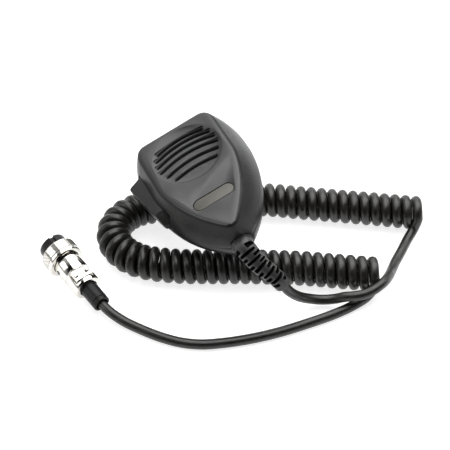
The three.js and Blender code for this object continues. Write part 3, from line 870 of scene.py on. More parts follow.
@dataclass
class Case:
    """The two shells, the name badge and the screws that hold them together. Millimetres."""

    rear_depth: float = 14.0
    face_top: float = 29.0
    wall: float = 2.0
    face_wall: float = 3.0
    crease: float = 1.9
    rear_edge: float = 2.5
    seam: float = 0.35
    dish_centre: tuple[float, float] = (0.6, -0.5)
    dish_radius: float = 17.5
    dish_depth: float = 1.4
    slot_arc: float = 40.0
    slot_width: float = 1.5
    slots: tuple[tuple[float, float], ...] = (
        (11.6, 12.2),
        (8.7, 14.4),
        (5.2, 15.4),
        (1.2, 15.4),
        (-3.8, 13.6),
        (-9.0, 11.0),
    )
    badge: tuple[float, float, float] = (20.6, 6.4, -32.7)
    badge_depth: float = 0.9
    screws: tuple[tuple[float, float], ...] = ((13, 12.6), (-13, 12.6), (8, -35), (-8, -35))
    exit_radius: float = 4.3
    exit_rim: float = 1.7
    notch_low: tuple[float, float, float] = (-41, -23.35, 13)
    notch_high: tuple[float, float, float] = (-16.2, 10.2, 22.6)
    face: Shield = Shield(20.4, 19.6, 6, 8, -12, (17.8, -33), 3, -51.6, -53.2)
    waist: Shield = Shield(28, 23.6, 12, 24, -6, (25.4, -37), 6, -51.6, -53)
    rear: Shield = Shield(22.5, 19.5, 10, 20, -6, (20, -32), 5, -46.5, -48)
    plate: Shield = Shield(19, 17, 7, 10, -6, (17, -29), 4, -43, -44.5)

    def flank(self, height: float) -> Ring:
        """The front shell's outline at a height above the seam."""
        share = (height - self.rear_depth) / (self.face_top - self.rear_depth)
        return blended(self.waist.ring(), self.face.ring(), share)

    def slot_tool(self, crest: float, half: float) -> bpy.types.Object:
        """The shape that cuts one grille slot, wider at its lip.

        Args:
            crest: The slot's highest Y.
            half: Half of its length.

        Returns:
            The cutting shape.
        """
        spread = math.asin(half / self.slot_arc)
        middle = crest - self.slot_arc
        radius = self.slot_width / 2
        right, left = math.pi / 2 - spread, math.pi / 2 + spread
        outline = arc(self.slot_arc + radius, 0, middle, right, left, 20)
        x, y = self.slot_arc * math.cos(left), middle + self.slot_arc * math.sin(left)
        outline += arc(radius, x, y, left, left + math.pi, 6)[1:-1]
        outline += arc(self.slot_arc - radius, 0, middle, left, right, 20)
        outline += arc(radius, -x, y, right + math.pi, right + math.tau, 6)[1:-1]
        floor = self.face_top - self.dish_depth
        rings = [
            moved_in(outline, 0.0, self.face_top - self.face_wall - 1),
            moved_in(outline, 0.0, floor - 0.7),
            moved_in(outline, -0.12, floor - 0.4),
            moved_in(outline, -0.34, floor - 0.12),
            moved_in(outline, -0.6, floor + 0.04),
            moved_in(outline, -0.62, self.face_top + 1),
        ]
        tool = loft("slot_tool", rings)
        tool.data.transform(Matrix.Translation((self.dish_centre[0], 0, 0)))
        return tool

    def build_front(self) -> bpy.types.Object:
        """The front shell: rounded crease, dished grille, badge pocket, lever notch, cord exit.

        Returns:
            The shell in the microphone's own frame.
        """
        rings = [
            moved_in(self.waist.ring(), 0.45, self.rear_depth),
            moved_in(self.flank(self.rear_depth + 0.12), 0.14, self.rear_depth + 0.12),
            moved_in(self.flank(self.rear_depth + 0.45), 0.0, self.rear_depth + 0.45),
        ]
        for share in (0.2, 0.4, 0.6, 0.8):
            height = self.rear_depth + (self.face_top - self.crease - self.rear_depth) * share
            bulge = -0.5 * math.sin(math.pi * share)
            rings.append(moved_in(self.flank(height), bulge, height))
        steps = 7
        for step in range(steps + 1):
            angle = math.pi / 2 * step / steps
            height = self.face_top - self.crease * (1 - math.sin(angle))
            rings.append(moved_in(self.flank(height), self.crease * (1 - math.cos(angle)), height))
        shell = loft("front_case", rings)
        roof = self.face_top - self.face_wall
        hollow = loft(
            "hollow",
            [
                moved_in(self.waist.ring(), self.wall, self.rear_depth - 1),
                moved_in(self.flank(roof), self.wall, roof),
            ],
        )
        notch = block("notch", Vector(self.notch_low), Vector(self.notch_high), 0.3)
        floor = self.face_top - self.dish_depth
        dish = turned(
            "dish",
            [
                (0.02, floor),
                (self.dish_radius - 7.0, floor + 0.02),
                (self.dish_radius - 4.0, floor + 0.16),
                (self.dish_radius - 2.0, floor + 0.5),
                (self.dish_radius - 0.9, floor + 0.86),
                (self.dish_radius - 0.35, self.face_top - 0.28),
                (self.dish_radius - 0.1, self.face_top - 0.09),
                (self.dish_radius + 0.3, self.face_top + 0.02),
                (self.dish_radius + 0.3, self.face_top + 2),
                (0.02, self.face_top + 2),
            ],
            96,
            x=self.dish_centre[0],
            y=self.dish_centre[1],
        )
        length, width, y = self.badge
        outline = stadium(length + 0.5, width + 0.5, y)
        pocket = loft(
            "pocket",
            [
                moved_in(outline, 0, self.face_top - self.badge_depth),
                moved_in(outline, 0, self.face_top - 0.3),
                moved_in(outline, -0.1, self.face_top - 0.08),
                moved_in(outline, -0.35, self.face_top + 0.05),
                moved_in(outline, -0.35, self.face_top + 2),
            ],
        )
        carve(shell, [hollow, notch, dish, pocket])
        carve(shell, [self.slot_tool(crest, half) for crest, half in self.slots])
        return carve(shell, [self.exit_tool()])

    def exit_tool(self) -> bpy.types.Object:
        """The shape that opens the tip for the cord's boot, with a sunk rim round it.

        Returns:
            The cutting shape.
        """
        sunk = self.exit_radius + self.exit_rim
        profile = [(self.exit_radius, 45), (self.exit_radius, 52.3), (sunk, 52.3), (sunk, 60)]
        tool = turned("exit", profile, 48)
        towards_tip = Matrix.Rotation(math.pi / 2, 4, "X")
        tool.data.transform(Matrix.Translation((0, 0, self.rear_depth)) @ towards_tip)
        return tool

    def build_rear(self) -> bpy.types.Object:
        """The rear shell: a rounded pan with sunk screw holes and a ring groove round the seat of the hang
        stud.

        Returns:
            The shell in the microphone's own frame.
        """
        rim = self.rear_depth - 0.3
        rim_ring = moved_in(self.waist.ring(), 0.5, rim)
        plate, rear = self.plate.ring(), self.rear.ring()
        shoulder = self.rear_edge + (rim - self.rear_edge) * 0.8
        rings = [moved_in(plate, 0.9, 0.0)]
        for share in (0.25, 0.5, 0.75, 1.0):
            spread = math.sin(share * math.pi / 2)
            height = self.rear_edge * (1 - math.cos(share * math.pi / 2))
            rings.append(moved_in(blended(plate, rear, spread), 0.9 * (1 - spread), height))
        for share, lean in ((0.2, 0.4), (0.4, 0.68), (0.6, 0.87), (0.8, 0.97)):
            height = self.rear_edge + (rim - self.rear_edge) * share
            rings.append(moved_in(blended(rear, rim_ring, lean), 0.0, height))
        rings.append(moved_in(rim_ring, 0.0, rim - 0.4))
        rings.append(moved_in(rim_ring, 0.12, rim - 0.1))
        rings.append(moved_in(rim_ring, 0.45, rim))
        shell = loft("rear_case", rings)
        hollow = loft(
            "hollow",
            [
                moved_in(plate, self.wall / 2, self.wall),
                moved_in(rear, self.wall, self.rear_edge + self.wall),
                moved_in(blended(rear, rim_ring, 0.95), self.wall, shoulder),
                moved_in(rim_ring, self.wall, rim + 1),
            ],
        )
        carve(shell, [hollow])
        profile = [(2.9, -1), (2.75, 0), (2.4, 0.25), (2.4, 4.2), (1.5, 4.2), (1.5, 6)]
        wells = [turned("well", profile, 40, x=x, y=y) for x, y in self.screws]
        groove = turned("groove", [(7.6, -1), (8.4, -1), (8.4, 0.35), (7.6, 0.35)], 64, closed=True, y=9)
        carve(shell, wells + [groove])
        return carve(shell, [self.exit_tool()])

    def on_face(self, polygon: bpy.types.MeshPolygon) -> bool:
        """Whether a polygon of the front shell belongs to its satin face and not to its glossier walls,
        which take a darker copy of the same plastic as painted shade.

        Args:
            polygon: A polygon of the shell, in the microphone's own frame.

        Returns:
            True on the face and in its grille.
        """
        x, y, z = polygon.center
        from_dish = math.hypot(x - self.dish_centre[0], y - self.dish_centre[1])
        if z < self.face_top - self.face_wall - 0.1:
            return False
        return from_dish < self.dish_radius + 0.5 or polygon.normal.z > 0.86

    def build_badge(self) -> bpy.types.Object:
        """The blank badge, a flat bar with softened edges in its pocket.

        Returns:
            The badge in the microphone's own frame.
        """
        length, width, y = self.badge
        low = self.face_top - self.badge_depth + 0.3
        outline = stadium(length, width, y, 16)
        return rounded_plate("blank_badge", outline, low, self.face_top - 0.15, edge=0.22, foot=0.1)

    def dress(self) -> None:
        """Builds every piece of the case and puts it in place."""
        front = self.build_front()
        on_face = [self.on_face(polygon) for polygon in front.data.polygons]
        # the walls get the darker copy as painted shade; the face keeps the lighter plastic
        settle(front, MICROPHONE, Finish.WALL, "root", ["front_shell"])
        second_finish(front, Finish.FACE, on_face)
        settle(self.build_rear(), MICROPHONE, Finish.SHELL, "root", ["rear_shell"])
        settle(self.build_badge(), MICROPHONE, Finish.BADGE, "root", ["name_badge"])
        screw = CrossScrew(head=2.1, head_height=2.0, shank=1.25, length=16).build("case_bolt")
        for i, (x, y) in enumerate(self.screws):
            bolt = twin(screw, f"case_bolt_{i + 1}", Matrix.Translation((x, y, 3.6)))
            settle(bolt, MICROPHONE, Finish.STEEL, "root", [f"case_screw_{i + 1}"])
        bpy.data.objects.remove(screw)


# ---------------------------------------------------------------- screws
@dataclass
class CrossScrew:
    """A domed screw, head down, its head's underside at height 0. Millimetres."""

    head: float
    head_height: float
    shank: float
    length: float
    slotted: bool = False

    def build(self, name: str) -> bpy.types.Object:
        """Turns the screw, with its thread's grooves, and cuts its recess.

        Args:
            name: The new object's name.

        Returns:
            The screw.
        """
        h, r = self.head_height, self.head
        profile = [
            (0.02, -h),
            (r * 0.45, -h * 0.97),
            (r * 0.75, -h * 0.84),
            (r * 0.93, -h * 0.6),
            (r, -h * 0.35),
            (r, -0.12),
            (r - 0.12, 0.0),
            (self.shank, 0.0),
        ]
        turns = int((self.length - self.shank - 1.0) / 0.7)
        for turn in range(turns):
            profile.append((self.shank, 1.0 + turn * 0.7))
            profile.append((self.shank * 0.8, 1.35 + turn * 0.7))
        profile.append((self.shank * 0.8, self.length - self.shank))
        profile.append((0.02, self.length))
        screw = turned(name, profile, 28)
        reach = r * (1.2 if self.slotted else 0.62)
        width = r * 0.13
        depth = h * (0.4 if self.slotted else 0.6)
        low, high = Vector((-reach, -width, -h - 1)), Vector((reach, width, depth - h))
        tools = [block("recess", low, high, 0.02)]
        if not self.slotted:
            low, high = Vector((-width, -reach, -h - 1)), Vector((width, reach, depth - h))
            tools.append(block("recess", low, high, 0.02))
        return carve(screw, tools)


# ---------------------------------------------------------------- the talk lever
@dataclass
class TalkLever:
    """The push-to-talk lever in its notch at the left side. Millimetres."""

    pivot: tuple[float, float] = (-19.0, -19.0)
    low: float = 14.8
    high: float = 22.2
    slope_start: float = 1.8
    slope: float = 38.0

    def build(self) -> bpy.types.Object:
        """The lever: a flat-fronted paddle with a sloped, rounded foot, and its pivot eye.

        Returns:
            The lever in the microphone's own frame.
        """
        x, y = self.pivot
        outline = softened(
            [
                (x + 1.8, y - 2, 1.2),
                (x + 1.8, y + 28, 1.0),
                (x - 5.3, y + 28, 1.4),
                (x - 12.7, y + 24.6, 1.3),
                (x - 8.3, y + 1.5, 0.5),
                (x - 7.4, y - 2.8, 1.6),
                (x - 6.2, y - 4, 1.6),
                (x - 0.2, y - 4, 1.6),
            ]
        )
        paddle = rounded_plate("talk_paddle", outline, self.low, self.high, 0.42)
        rib = block(
            "rib",
            Vector((x + 0.8, y + 21.5, self.low + 1.5)),
            Vector((x + 4.1, y + 24.5, self.high - 1.5)),
            0.2,
        )
        carve(paddle, [rib], "UNION")
        bore = turned("bore", [(1.35, self.low - 1), (1.35, self.high + 1)], 32, x=x, y=y)
        carve(paddle, [bore, self.foot_tool()])
        pick(paddle)
        edge = paddle.modifiers.new("edge", "BEVEL")
        edge.width = 0.18
        edge.segments = 2
        edge.limit_method = "ANGLE"
        edge.angle_limit = math.radians(33)
        bpy.ops.object.modifier_apply(modifier=edge.name)
        return paddle

    def foot_tool(self) -> bpy.types.Object:
        """The shape that slopes the lever's foot.

        Returns:
            The cutting shape.
        """
        tool = block("foot_cut", Vector((-20, -14, 0)), Vector((20, 0, 12)), 0.02)
        place = Matrix.Translation((self.pivot[0], self.pivot[1] + self.slope_start, self.high))
        tool.data.transform(place @ Matrix.Rotation(math.radians(self.slope), 4, "X"))
        return tool

    def dress(self) -> None:
        """Puts the lever in place."""
        settle(self.build(), MICROPHONE, Finish.LEVER, "talk_lever", ["talk_lever"])


# ---------------------------------------------------------------- the hang stud
@dataclass
class HangStud:
    """The round stud on the back, which the microphone hangs from, and its screw. Millimetres."""

    y: float = 9.0
    head: float = 6.5
    neck: float = 4.0
    depth: float = 5.0
    neck_depth: float = 2.8

    def build(self) -> bpy.types.Object:
        """The stud: a mushroom head with a sunk, faced middle.

        Returns:
            The stud in the microphone's own frame.
        """
        profile = [
            (1.55, 1.6 - self.depth),
            (2.4, 1.6 - self.depth),
            (2.4, 0.15 - self.depth),
            (2.6, -self.depth),
            (self.head - 0.7, -self.depth),
            (self.head - 0.22, 0.2 - self.depth),
            (self.head, 0.65 - self.depth),
            (self.head, -self.neck_depth - 0.45),
            (self.head - 0.15, -self.neck_depth - 0.15),
            (self.head - 0.6, -self.neck_depth),
            (self.neck + 0.35, -self.neck_depth),
            (self.neck, -self.neck_depth + 0.35),
            (self.neck, -0.3),
            (1.55, -0.3),
        ]
        return turned("stud", profile, 72, closed=True, y=self.y)

    def dress(self) -> None:
        """Puts the stud and its screw in place."""
        settle(self.build(), MICROPHONE, Finish.STEEL, "root", ["hang_stud"])
        screw = CrossScrew(head=2.1, head_height=1.2, shank=1.25, length=11).build("stud_bolt")
        screw.data.transform(Matrix.Translation((0, self.y, 1.3 - self.depth)))
        settle(screw, MICROPHONE, Finish.STEEL, "root", ["stud_screw"])


# ---------------------------------------------------------------- boot and cord
def on_table(points: list[tuple[float, float, float]]) -> list[Vector]:
    """Points of the part's frame in millimetres, from ones with heights above the table."""
    return [Vector((x, y, height + TABLE / MM)) for x, y, height in points]


def tube_rings(
    line: list[Vector], radii: list[list[float]], up: Vector = Vector((0, 0, 1))
) -> list[Ring]:
    """Rings square to a line.

    Args:
        line: Points along the line.
        radii: For each of them, the radius at each step round it.
        up: The direction that the first step points towards.

    Returns:
        The rings.
    """
    rings = []
    for i, (centre, around) in enumerate(zip(line, radii)):
        ahead = (line[min(i + 1, len(line) - 1)] - line[max(i - 1, 0)]).normalized()
        across = ahead.cross(up).normalized()
        above = across.cross(ahead)
        ring = []
        for step, radius in enumerate(around):
            angle = math.tau * step / len(around)
            ring.append(centre + (above * math.cos(angle) + across * math.sin(angle)) * radius)
        rings.append(ring)
    return rings


@dataclass
class StrainRelief:
    """The rubber boot: a collar at the case, then a tapered sheath with staggered slots. Millimetres."""

    collar: float = 5.5
    root_radius: float = 5.0
    tip_radius: float = 3.8
    collar_start: float = 5.8
    collar_length: float = 1.5
    rows: int = 11
    row_pitch: float = 2.1
    slot_length: float = 1.15
    slot_turn: float = 0.126
    slot_depth: float = 1.5
    slot_floor: float = 2.6
    first_slot: float = 1.9
    root_in_case: float = 3.9
    edge: float = 0.45
    edge_slope: float = 0.9
    tip_edge: float = 0.4
    tip_slope: float = 0.8
    wide_slot: float = 58.0
    narrow_slot: tuple[float, float] = (28.0, 78.0)
    sides: int = 48
    route: tuple[tuple[float, float, float], ...] = (
        (6.6, -37.7, 32.4),
        (9.8, -41.5, 29.6),
        (12.9, -44.2, 26.1),
        (15.3, -45.6, 22.3),
    )

    @cached_property
    def line(self) -> list[Vector]:
        """The boot's middle line, from inside the case to its tip.

        Returns:
            Points in millimetres, in the part's frame.
        """
        to_part = Matrix.Scale(1 / MM, 4) @ MICROPHONE
        start = [to_part @ Vector((0, y, 14.0)) for y in (-46.8, -53.3, -55.9)]
        return smooth_line(start + on_table(list(self.route)), 0.25)

    @cached_property
    def length(self) -> float:
        """The length of the middle line."""
        return length_of(self.line)

    @property
    def sheath_start(self) -> float:
        """How far along the middle line the collar ends and the sheath starts."""
        return self.collar_start + self.collar_length

    def surface(self, distance: float) -> float:
        """The sheath's radius between its slots, at a distance along the middle line."""
        share = (distance - self.sheath_start) / (self.length - self.sheath_start)
        return self.root_radius + (self.tip_radius - self.root_radius) * share

    def radius(self, distance: float, turn: float) -> float:
        """The boot's radius.

        Args:
            distance: Along the middle line, from inside the case.
            turn: Round it, from 0 to 1.

        Returns:
            The radius there.
        """
        if distance < self.collar_start:
            return self.root_in_case
        if distance < self.sheath_start:
            near = min(distance - self.collar_start, self.sheath_start - distance)
            return self.collar - max(0.0, self.edge - near) * self.edge_slope
        radius = self.surface(distance)
        along = distance - self.sheath_start - self.first_slot
        row = int(along / self.row_pitch)
        if 0 <= row < self.rows and along > 0:
            inside = along - row * self.row_pitch
            halves = (turn - self.slot_turn) * 2
            around = abs(halves - round(halves)) * 180
            first, last = self.narrow_slot
            is_cut = around < self.wide_slot if row % 2 else first < around < last
            if inside < self.slot_length and is_cut:
                radius = max(radius - self.slot_depth, self.slot_floor)
        left = self.length - distance
        return radius - max(0.0, self.tip_edge - left) * self.tip_slope

    def build(self) -> bpy.types.Object:
        """The boot, in the part's frame.

        Returns:
            The boot, from just inside the case to its tip.
        """
        radii = []
        travelled = 0.0
        for i, point in enumerate(self.line):
            travelled += (point - self.line[i - 1]).length if i else 0.0
            radii.append([self.radius(travelled, step / self.sides) for step in range(self.sides)])
        return loft("strain_boot", tube_rings(self.line, radii))

    def dress(self) -> None:
        """Puts the boot in place."""
        boot = self.build()
        in_slot = [self.in_slot(polygon) for polygon in boot.data.polygons]
        settle(boot, Matrix.Scale(MM, 4), Finish.BOOT, "root", ["cord_boot"])
        # the slot floors take the near-black painted shade
        second_finish(boot, Finish.HOLLOW, in_slot)

    def in_slot(self, polygon: bpy.types.MeshPolygon) -> bool:
        """Whether a polygon of the boot lies inside one of its slots, where a near-black copy of the
        rubber paints the shade.

        Args:
            polygon: A polygon of the boot, in millimetres.

        Returns:
            True on a slot's floor and low on its walls.
        """
        distance = 0.0
        nearest, at_nearest = math.inf, 0.0
        for i, point in enumerate(self.line):
            distance += (point - self.line[i - 1]).length if i else 0.0
            gap = (polygon.center - point).length
            if gap < nearest:
                nearest, at_nearest = gap, distance
        if at_nearest < self.sheath_start + 1.0:
            return False
        return 2.0 < nearest < self.surface(at_nearest) - 0.6


@dataclass
class CurlyCord:
    """The cord, one line from the boot through every turn of its coil to the plug. Millimetres."""

    radius: float = 2.4
    coil_radius: float = 6.1
    pitch: float = 5.2
    steps_per_turn: int = 22
    axis_height: float = 8.75
    lead_in: float = 6.5
    run_out: float = 5.5
    start_turn: float = -75.0
    end_turn: float = 110.0
    mouth_tail: tuple[tuple[float, float, float], ...] = (
        (12.9, -44.2, 26.1),
        (15.7, -45.7, 21.6),
        (19.2, -45.7, 16),
        (24.4, -45, 10),
        (30.4, -45.1, 6),
        (35.8, -46.7, 4.6),
        (40.9, -49.4, 5.6),
        (44.8, -52.1, 7.9),
        (48.6, -54.4, 9),
        (53, -55.5, 9.4),
        (58, -55.1, 9.7),
        (64, -53, 9.8),
        (69.8, -48.3, 7.3),
        (75, -42.7, 4.2),
        (80.2, -37.3, 2.8),
        (86.5, -31.9, 2.5),
        (93.4, -25.9, 2.6),
        (98.4, -22.7, 4.8),
    )
    coil_axis: tuple[tuple[float, float], ...] = (
        (98.2, -13.7),
        (83.9, -4.9),
        (69, 4.1),
        (54, 13.2),
        (39.5, 22.1),
        (20.9, 30.8),
        (1.6, 36.6),
        (-12.4, 40.3),
        (-23, 41.5),
        (-31.4, 39.1),
        (-37.6, 33.5),
        (-40.6, 25.5),
        (-39.4, 16.5),
        (-34.6, 8.5),
        (-27, 2.3),
        (-17.8, -3.2),
        (-2.7, -10.3),
        (12.5, -17.1),
        (33.8, -27.7),
        (49, -36.7),
        (59.8, -43),
    )
    plug_tail: tuple[tuple[float, float, float], ...] = (
        (57.2, -51.7, 2.6),
        (49.7, -53.9, 2.5),
        (38.5, -55.4, 2.5),
        (25.1, -55.6, 2.5),
        (9.7, -55.1, 2.5),
        (-4.7, -53.3, 2.5),
        (-18.4, -50.1, 2.5),
        (-27, -47, 2.5),
        (-34.8, -42.1, 2.5),
        (-41.9, -35.3, 2.5),
        (-48.6, -27.1, 2.6),
        (-54.2, -19.7, 3.4),
        (-58.1, -13, 4.7),
        (-59.8, -8, 5.4),
        (-60.6, -4.6, 5.8),
    )

    def helix(self) -> list[Vector]:
        """Every turn of the coil.

        Returns:
            Points in millimetres, in the part's frame.
        """
        axis = smooth_line(on_table([(x, y, self.axis_height) for x, y in self.coil_axis]), 1.0)
        length = length_of(axis)
        whole = length + self.lead_in + self.run_out
        turns = round(whole / self.pitch - 0.5)
        sweep = math.radians(self.end_turn - self.start_turn) + turns * math.tau
        count = round(sweep / math.tau * self.steps_per_turn)
        up = Vector((0, 0, 1))
        points = []
        for step in range(count + 1):
            centre, ahead = at_length(axis, whole * step / count - self.lead_in)
            angle = math.radians(self.start_turn) + sweep * step / count
            side = ahead.cross(up).normalized()
            points.append(centre + (up * math.cos(angle) + side * math.sin(angle)) * self.coil_radius)
        return points

    def line(self) -> list[Vector]:
        """The whole cord's middle line in metres, in the part's frame.

        Returns:
            Points from inside the boot to inside the plug.
        """
        helix = self.helix()
        mouth = smooth_line(on_table(list(self.mouth_tail)) + helix[:2], 1.4)[:-1]
        plug = smooth_line(helix[-2:] + on_table(list(self.plug_tail)), 1.4)[1:]
        joined_line = mouth[:-1] + helix[1:-1] + plug
        return [point * MM for point in joined_line]

    def dress(self, pieces: list[bpy.types.Object | str]) -> None:
        """Args:
            pieces: The pieces of its plug. Not used.
        """
        line = self.line()
        curve = bpy.data.curves.new("curly_cord", "CURVE")
        curve.dimensions = "3D"
        curve.bevel_depth = self.radius * MM
        curve.bevel_resolution = 4
        curve.use_fill_caps = True
        spline = curve.splines.new("POLY")
        spline.points.add(len(line) - 1)
        for target, point in zip(spline.points, line):
            target.co = (*point, 1.0)
        spline.use_smooth = True
        cord = bpy.data.objects.new("curly_cord", curve)
        bpy.context.scene.collection.objects.link(cord)
        curve.materials.append(Finish.JACKET.material)
        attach(cord, "root")
        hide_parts("mic_side_tail", "coil_far_run", "coil_bend", "coil_near_run", "plug_side_tail")
        log.info("cord: %.3f m in %d points", length_of(line), len(line))
        length_of(line)


# ---------------------------------------------------------------- the plug
@dataclass
class RadioPlug:
    """The screw-ring plug, its axis along Z and the ring's front edge at height 0. Millimetres."""

    front: tuple[float, float] = (-68.45, 29.26)
    heading: float = 13.0
    tilt: float = 6.5
    roll: float = 175.0
    ring_radius: float = 8.9
    ring_length: float = 8.0
    insert_radius: float = 6.9
    insert_proud: float = 5.0
    barrel_radius: float = 6.7
    barrel_length: float = 19.0
    sleeve_radius: float = 4.2
    sleeve_length: float = 15.5
    knurls: int = 58
    knurl_depth: float = 0.42

    def place(self) -> Matrix:
        """Where the plug lies: on its ring and tipped back.

        Returns:
            From the plug's own frame to the part's.
        """
        tilt = math.radians(self.tilt)
        nose = self.ring_radius * math.cos(tilt) + self.ring_length * math.sin(tilt) + 0.05
        return (
            Matrix.Translation((self.front[0] * MM, self.front[1] * MM, nose * MM + TABLE))
            @ Matrix.Rotation(math.radians(self.heading), 4, "Z")
            @ Matrix.Rotation(tilt - math.pi / 2, 4, "X")
            @ Matrix.Rotation(math.radians(self.roll), 4, "Z")
            @ Matrix.Scale(MM, 4)
        )

    def build_ring(self) -> bpy.types.Object:
        """The coupling ring: a knurled grip, a smooth band and a groove between them.

        Returns:
            The ring.
        """
        r = self.ring_radius
        rear = -self.ring_length
        inner = r - 1.2
        lip = self.barrel_radius + 0.3
        count = 2 * self.knurls
        profile = [
            (inner, rear + 3),
            (lip, rear + 2.4),
            (lip, rear),
            (r - 0.6, rear),
            (r - 0.17, rear + 0.18),
            (r, rear + 0.6),
            (r, rear + 1.9),
            (r - 0.12, rear + 2.02),
            (r - 0.4, rear + 2.12),
            (r - 0.4, rear + 2.42),
            (r - 0.12, rear + 2.52),
        ]
        rings = [circle(radius, height, count) for radius, height in profile]
        rows = 10
        start, end = rear + 2.7, -0.75
        for row in range(rows):
            height = start + (end - start) * row / (rows - 1)
            ring = circle(1.0, height, count)
            for step, point in enumerate(ring):
                radius = r if (step + row) % 2 else r - self.knurl_depth
                point.x *= radius
                point.y *= radius
            rings.append(ring)
        for radius, height in ((r - 0.3, -0.55), (r - 0.5, -0.2), (r - 0.75, 0.0), (inner, 0.0)):
            rings.append(circle(radius, height, count))
        return loft("screw_ring", rings, closed=True)

    def build_barrel(self) -> bpy.types.Object:
        """The barrel, with its seat for the saddle.

        Returns:
            The barrel.
        """
        r = self.barrel_radius
        bore = r - 1.0
        rear = -self.ring_length - self.barrel_length
        mouth = self.sleeve_radius + 0.3
        profile = [
            (bore, rear + 1.2),
            (mouth, rear + 1.2),
            (mouth, rear + 0.15),
            (mouth + 0.15, rear),
            (r - 0.8, rear),
            (r - 0.3, rear + 0.14),
            (r, rear + 0.8),
            (r, rear + 9.2),
            (r - 0.1, rear + 9.35),
            (r - 0.1, rear + 9.75),
            (r, rear + 9.9),
            (r, 2.4 - self.ring_length),
            (r - 0.2, 2.7 - self.ring_length),
            (bore, 2.7 - self.ring_length),
        ]
        barrel = turned("plug_body", profile, 96, closed=True)
        seat = block("seat", Vector((-4.8, 4.5, rear + 2)), Vector((4.8, r + 1, rear + 8.6)), 0.25)
        hole = turned("hole", [(1.1, r - 3), (1.1, r + 2)], 24)
        sideways = Matrix.Rotation(math.pi / 2, 4, "Y")
        hole.data.transform(Matrix.Translation((0, 0, -self.ring_length - 3)) @ sideways)
        return carve(barrel, [seat, hole])

    def build_saddle(self) -> bpy.types.Object:
        """The saddle that clamps the cord, a bevelled block with two screw holes.

        Returns:
            The saddle.
        """
        r = self.barrel_radius
        rear = -self.ring_length - self.barrel_length
        low, high = Vector((-4.5, 4.8, rear + 2.3)), Vector((4.5, r + 0.2, rear + 8.3))
        saddle = block("clamp_saddle", low, high, 0.35)
        holes = []
        for x in (-2.9, 2.9):
            hole = turned("hole", [(1.1, -r - 3), (1.1, 1)], 24)
            upright = Matrix.Rotation(math.pi / 2, 4, "X")
            hole.data.transform(Matrix.Translation((x, 0, rear + 5.3)) @ upright)
            holes.append(hole)
        return carve(saddle, holes)

    def build_insert(self) -> bpy.types.Object:
        """The black insert with its keyway and seven socket holes.

        Returns:
            The insert.
        """
        r, proud = self.insert_radius, self.insert_proud
        insert = turned(
            "socket_block",
            [
                (r, 3 - self.ring_length),
                (r, -0.5),
                (r - 0.25, -0.3),
                (r - 0.25, 0.6),
                (r, 0.8),
                (r, proud - 0.5),
                (r - 0.15, proud - 0.15),
                (r - 0.5, proud),
            ],
            72,
        )
        tools = [block("keyway", Vector((-1, r - 1.4, proud - 6)), Vector((1, r + 1, proud + 1)), 0.1)]
        for i in range(7):
            angle = math.tau * (i + 0.5) / 7
            x, y = 4.2 * math.cos(angle), 4.2 * math.sin(angle)
            profile = [(1.2, proud - 5), (1.2, proud - 0.25), (1.4, proud + 0.02), (1.4, proud + 1)]
            tools.append(turned("socket", profile, 24, x=x, y=y))
        tools.append(turned("rim", [(1.3, proud - 0.4), (1.3, proud + 1)], 32))
        return carve(insert, tools)

    def build_sleeve(self) -> bpy.types.Object:
        """The cord's sleeve: soft ribs, and an open end round the cord.

        Returns:
            The sleeve.
        """
        r = self.sleeve_radius
        bore = 3.0
        front = 4 - self.ring_length - self.barrel_length
        rear = front - self.sleeve_length
        profile = [
            (bore, front),
            (bore, rear + 0.4),
            (bore + 0.25, rear),
            (r - 0.5, rear),
            (r - 0.12, rear + 0.18),
            (r, rear + 0.6),
            (r, rear + 1.6),
            (r - 0.25, rear + 1.9),
            (r - 0.25, rear + 2.2),
            (r, rear + 2.5),
            (r, front - 0.3),
            (r - 0.3, front),
        ]
        return turned("cord_sleeve", profile, 56, closed=True)

    def dress(self) -> list[bpy.types.Object]:
        """Builds every piece of the plug and puts it in place.

        Returns:
            The pieces of the plug.
        """
        place = self.place()
        r = self.barrel_radius
        rear = -self.ring_length - self.barrel_length
        pieces = [
            settle(self.build_ring(), place, Finish.NICKEL, "ring", ["coupling_ring"], 28),
            settle(self.build_barrel(), place, Finish.NICKEL, "root", ["plug_barrel"]),
            settle(self.build_saddle(), place, Finish.NICKEL, "root", ["cord_saddle"]),
            settle(self.build_insert(), place, Finish.BLACK, "root", ["plug_insert"]),
            settle(self.build_sleeve(), place, Finish.RUBBER, "root", ["plug_sleeve"]),
        ]
        screw = CrossScrew(1.25, 0.8, shank=0.8, length=2.6, slotted=True).build("saddle_bolt")
        up = Matrix.Rotation(math.pi / 2, 4, "X")
        for i, (x, spin) in enumerate(((-2.9, 0.4), (2.9, -0.7))):
            move = Matrix.Translation((x, r + 0.5, rear + 5.3)) @ up @ Matrix.Rotation(spin, 4, "Z")
            bolt = twin(screw, f"saddle_bolt_{i + 1}", move)
            pieces.append(settle(bolt, place, Finish.NICKEL, "root", [f"saddle_screw_{i + 1}"]))
        bpy.data.objects.remove(screw)
        grub = CrossScrew(1.2, 0.5, shank=0.8, length=2.2, slotted=True).build("insert_bolt")
        turn = Matrix.Rotation(-math.pi / 2, 4, "Y")
        grub.data.transform(Matrix.Translation((r + 0.3, 0, -self.ring_length - 3)) @ turn)
        pieces.append(settle(grub, place, Finish.STEEL, "root", ["insert_screw"]))
        return pieces


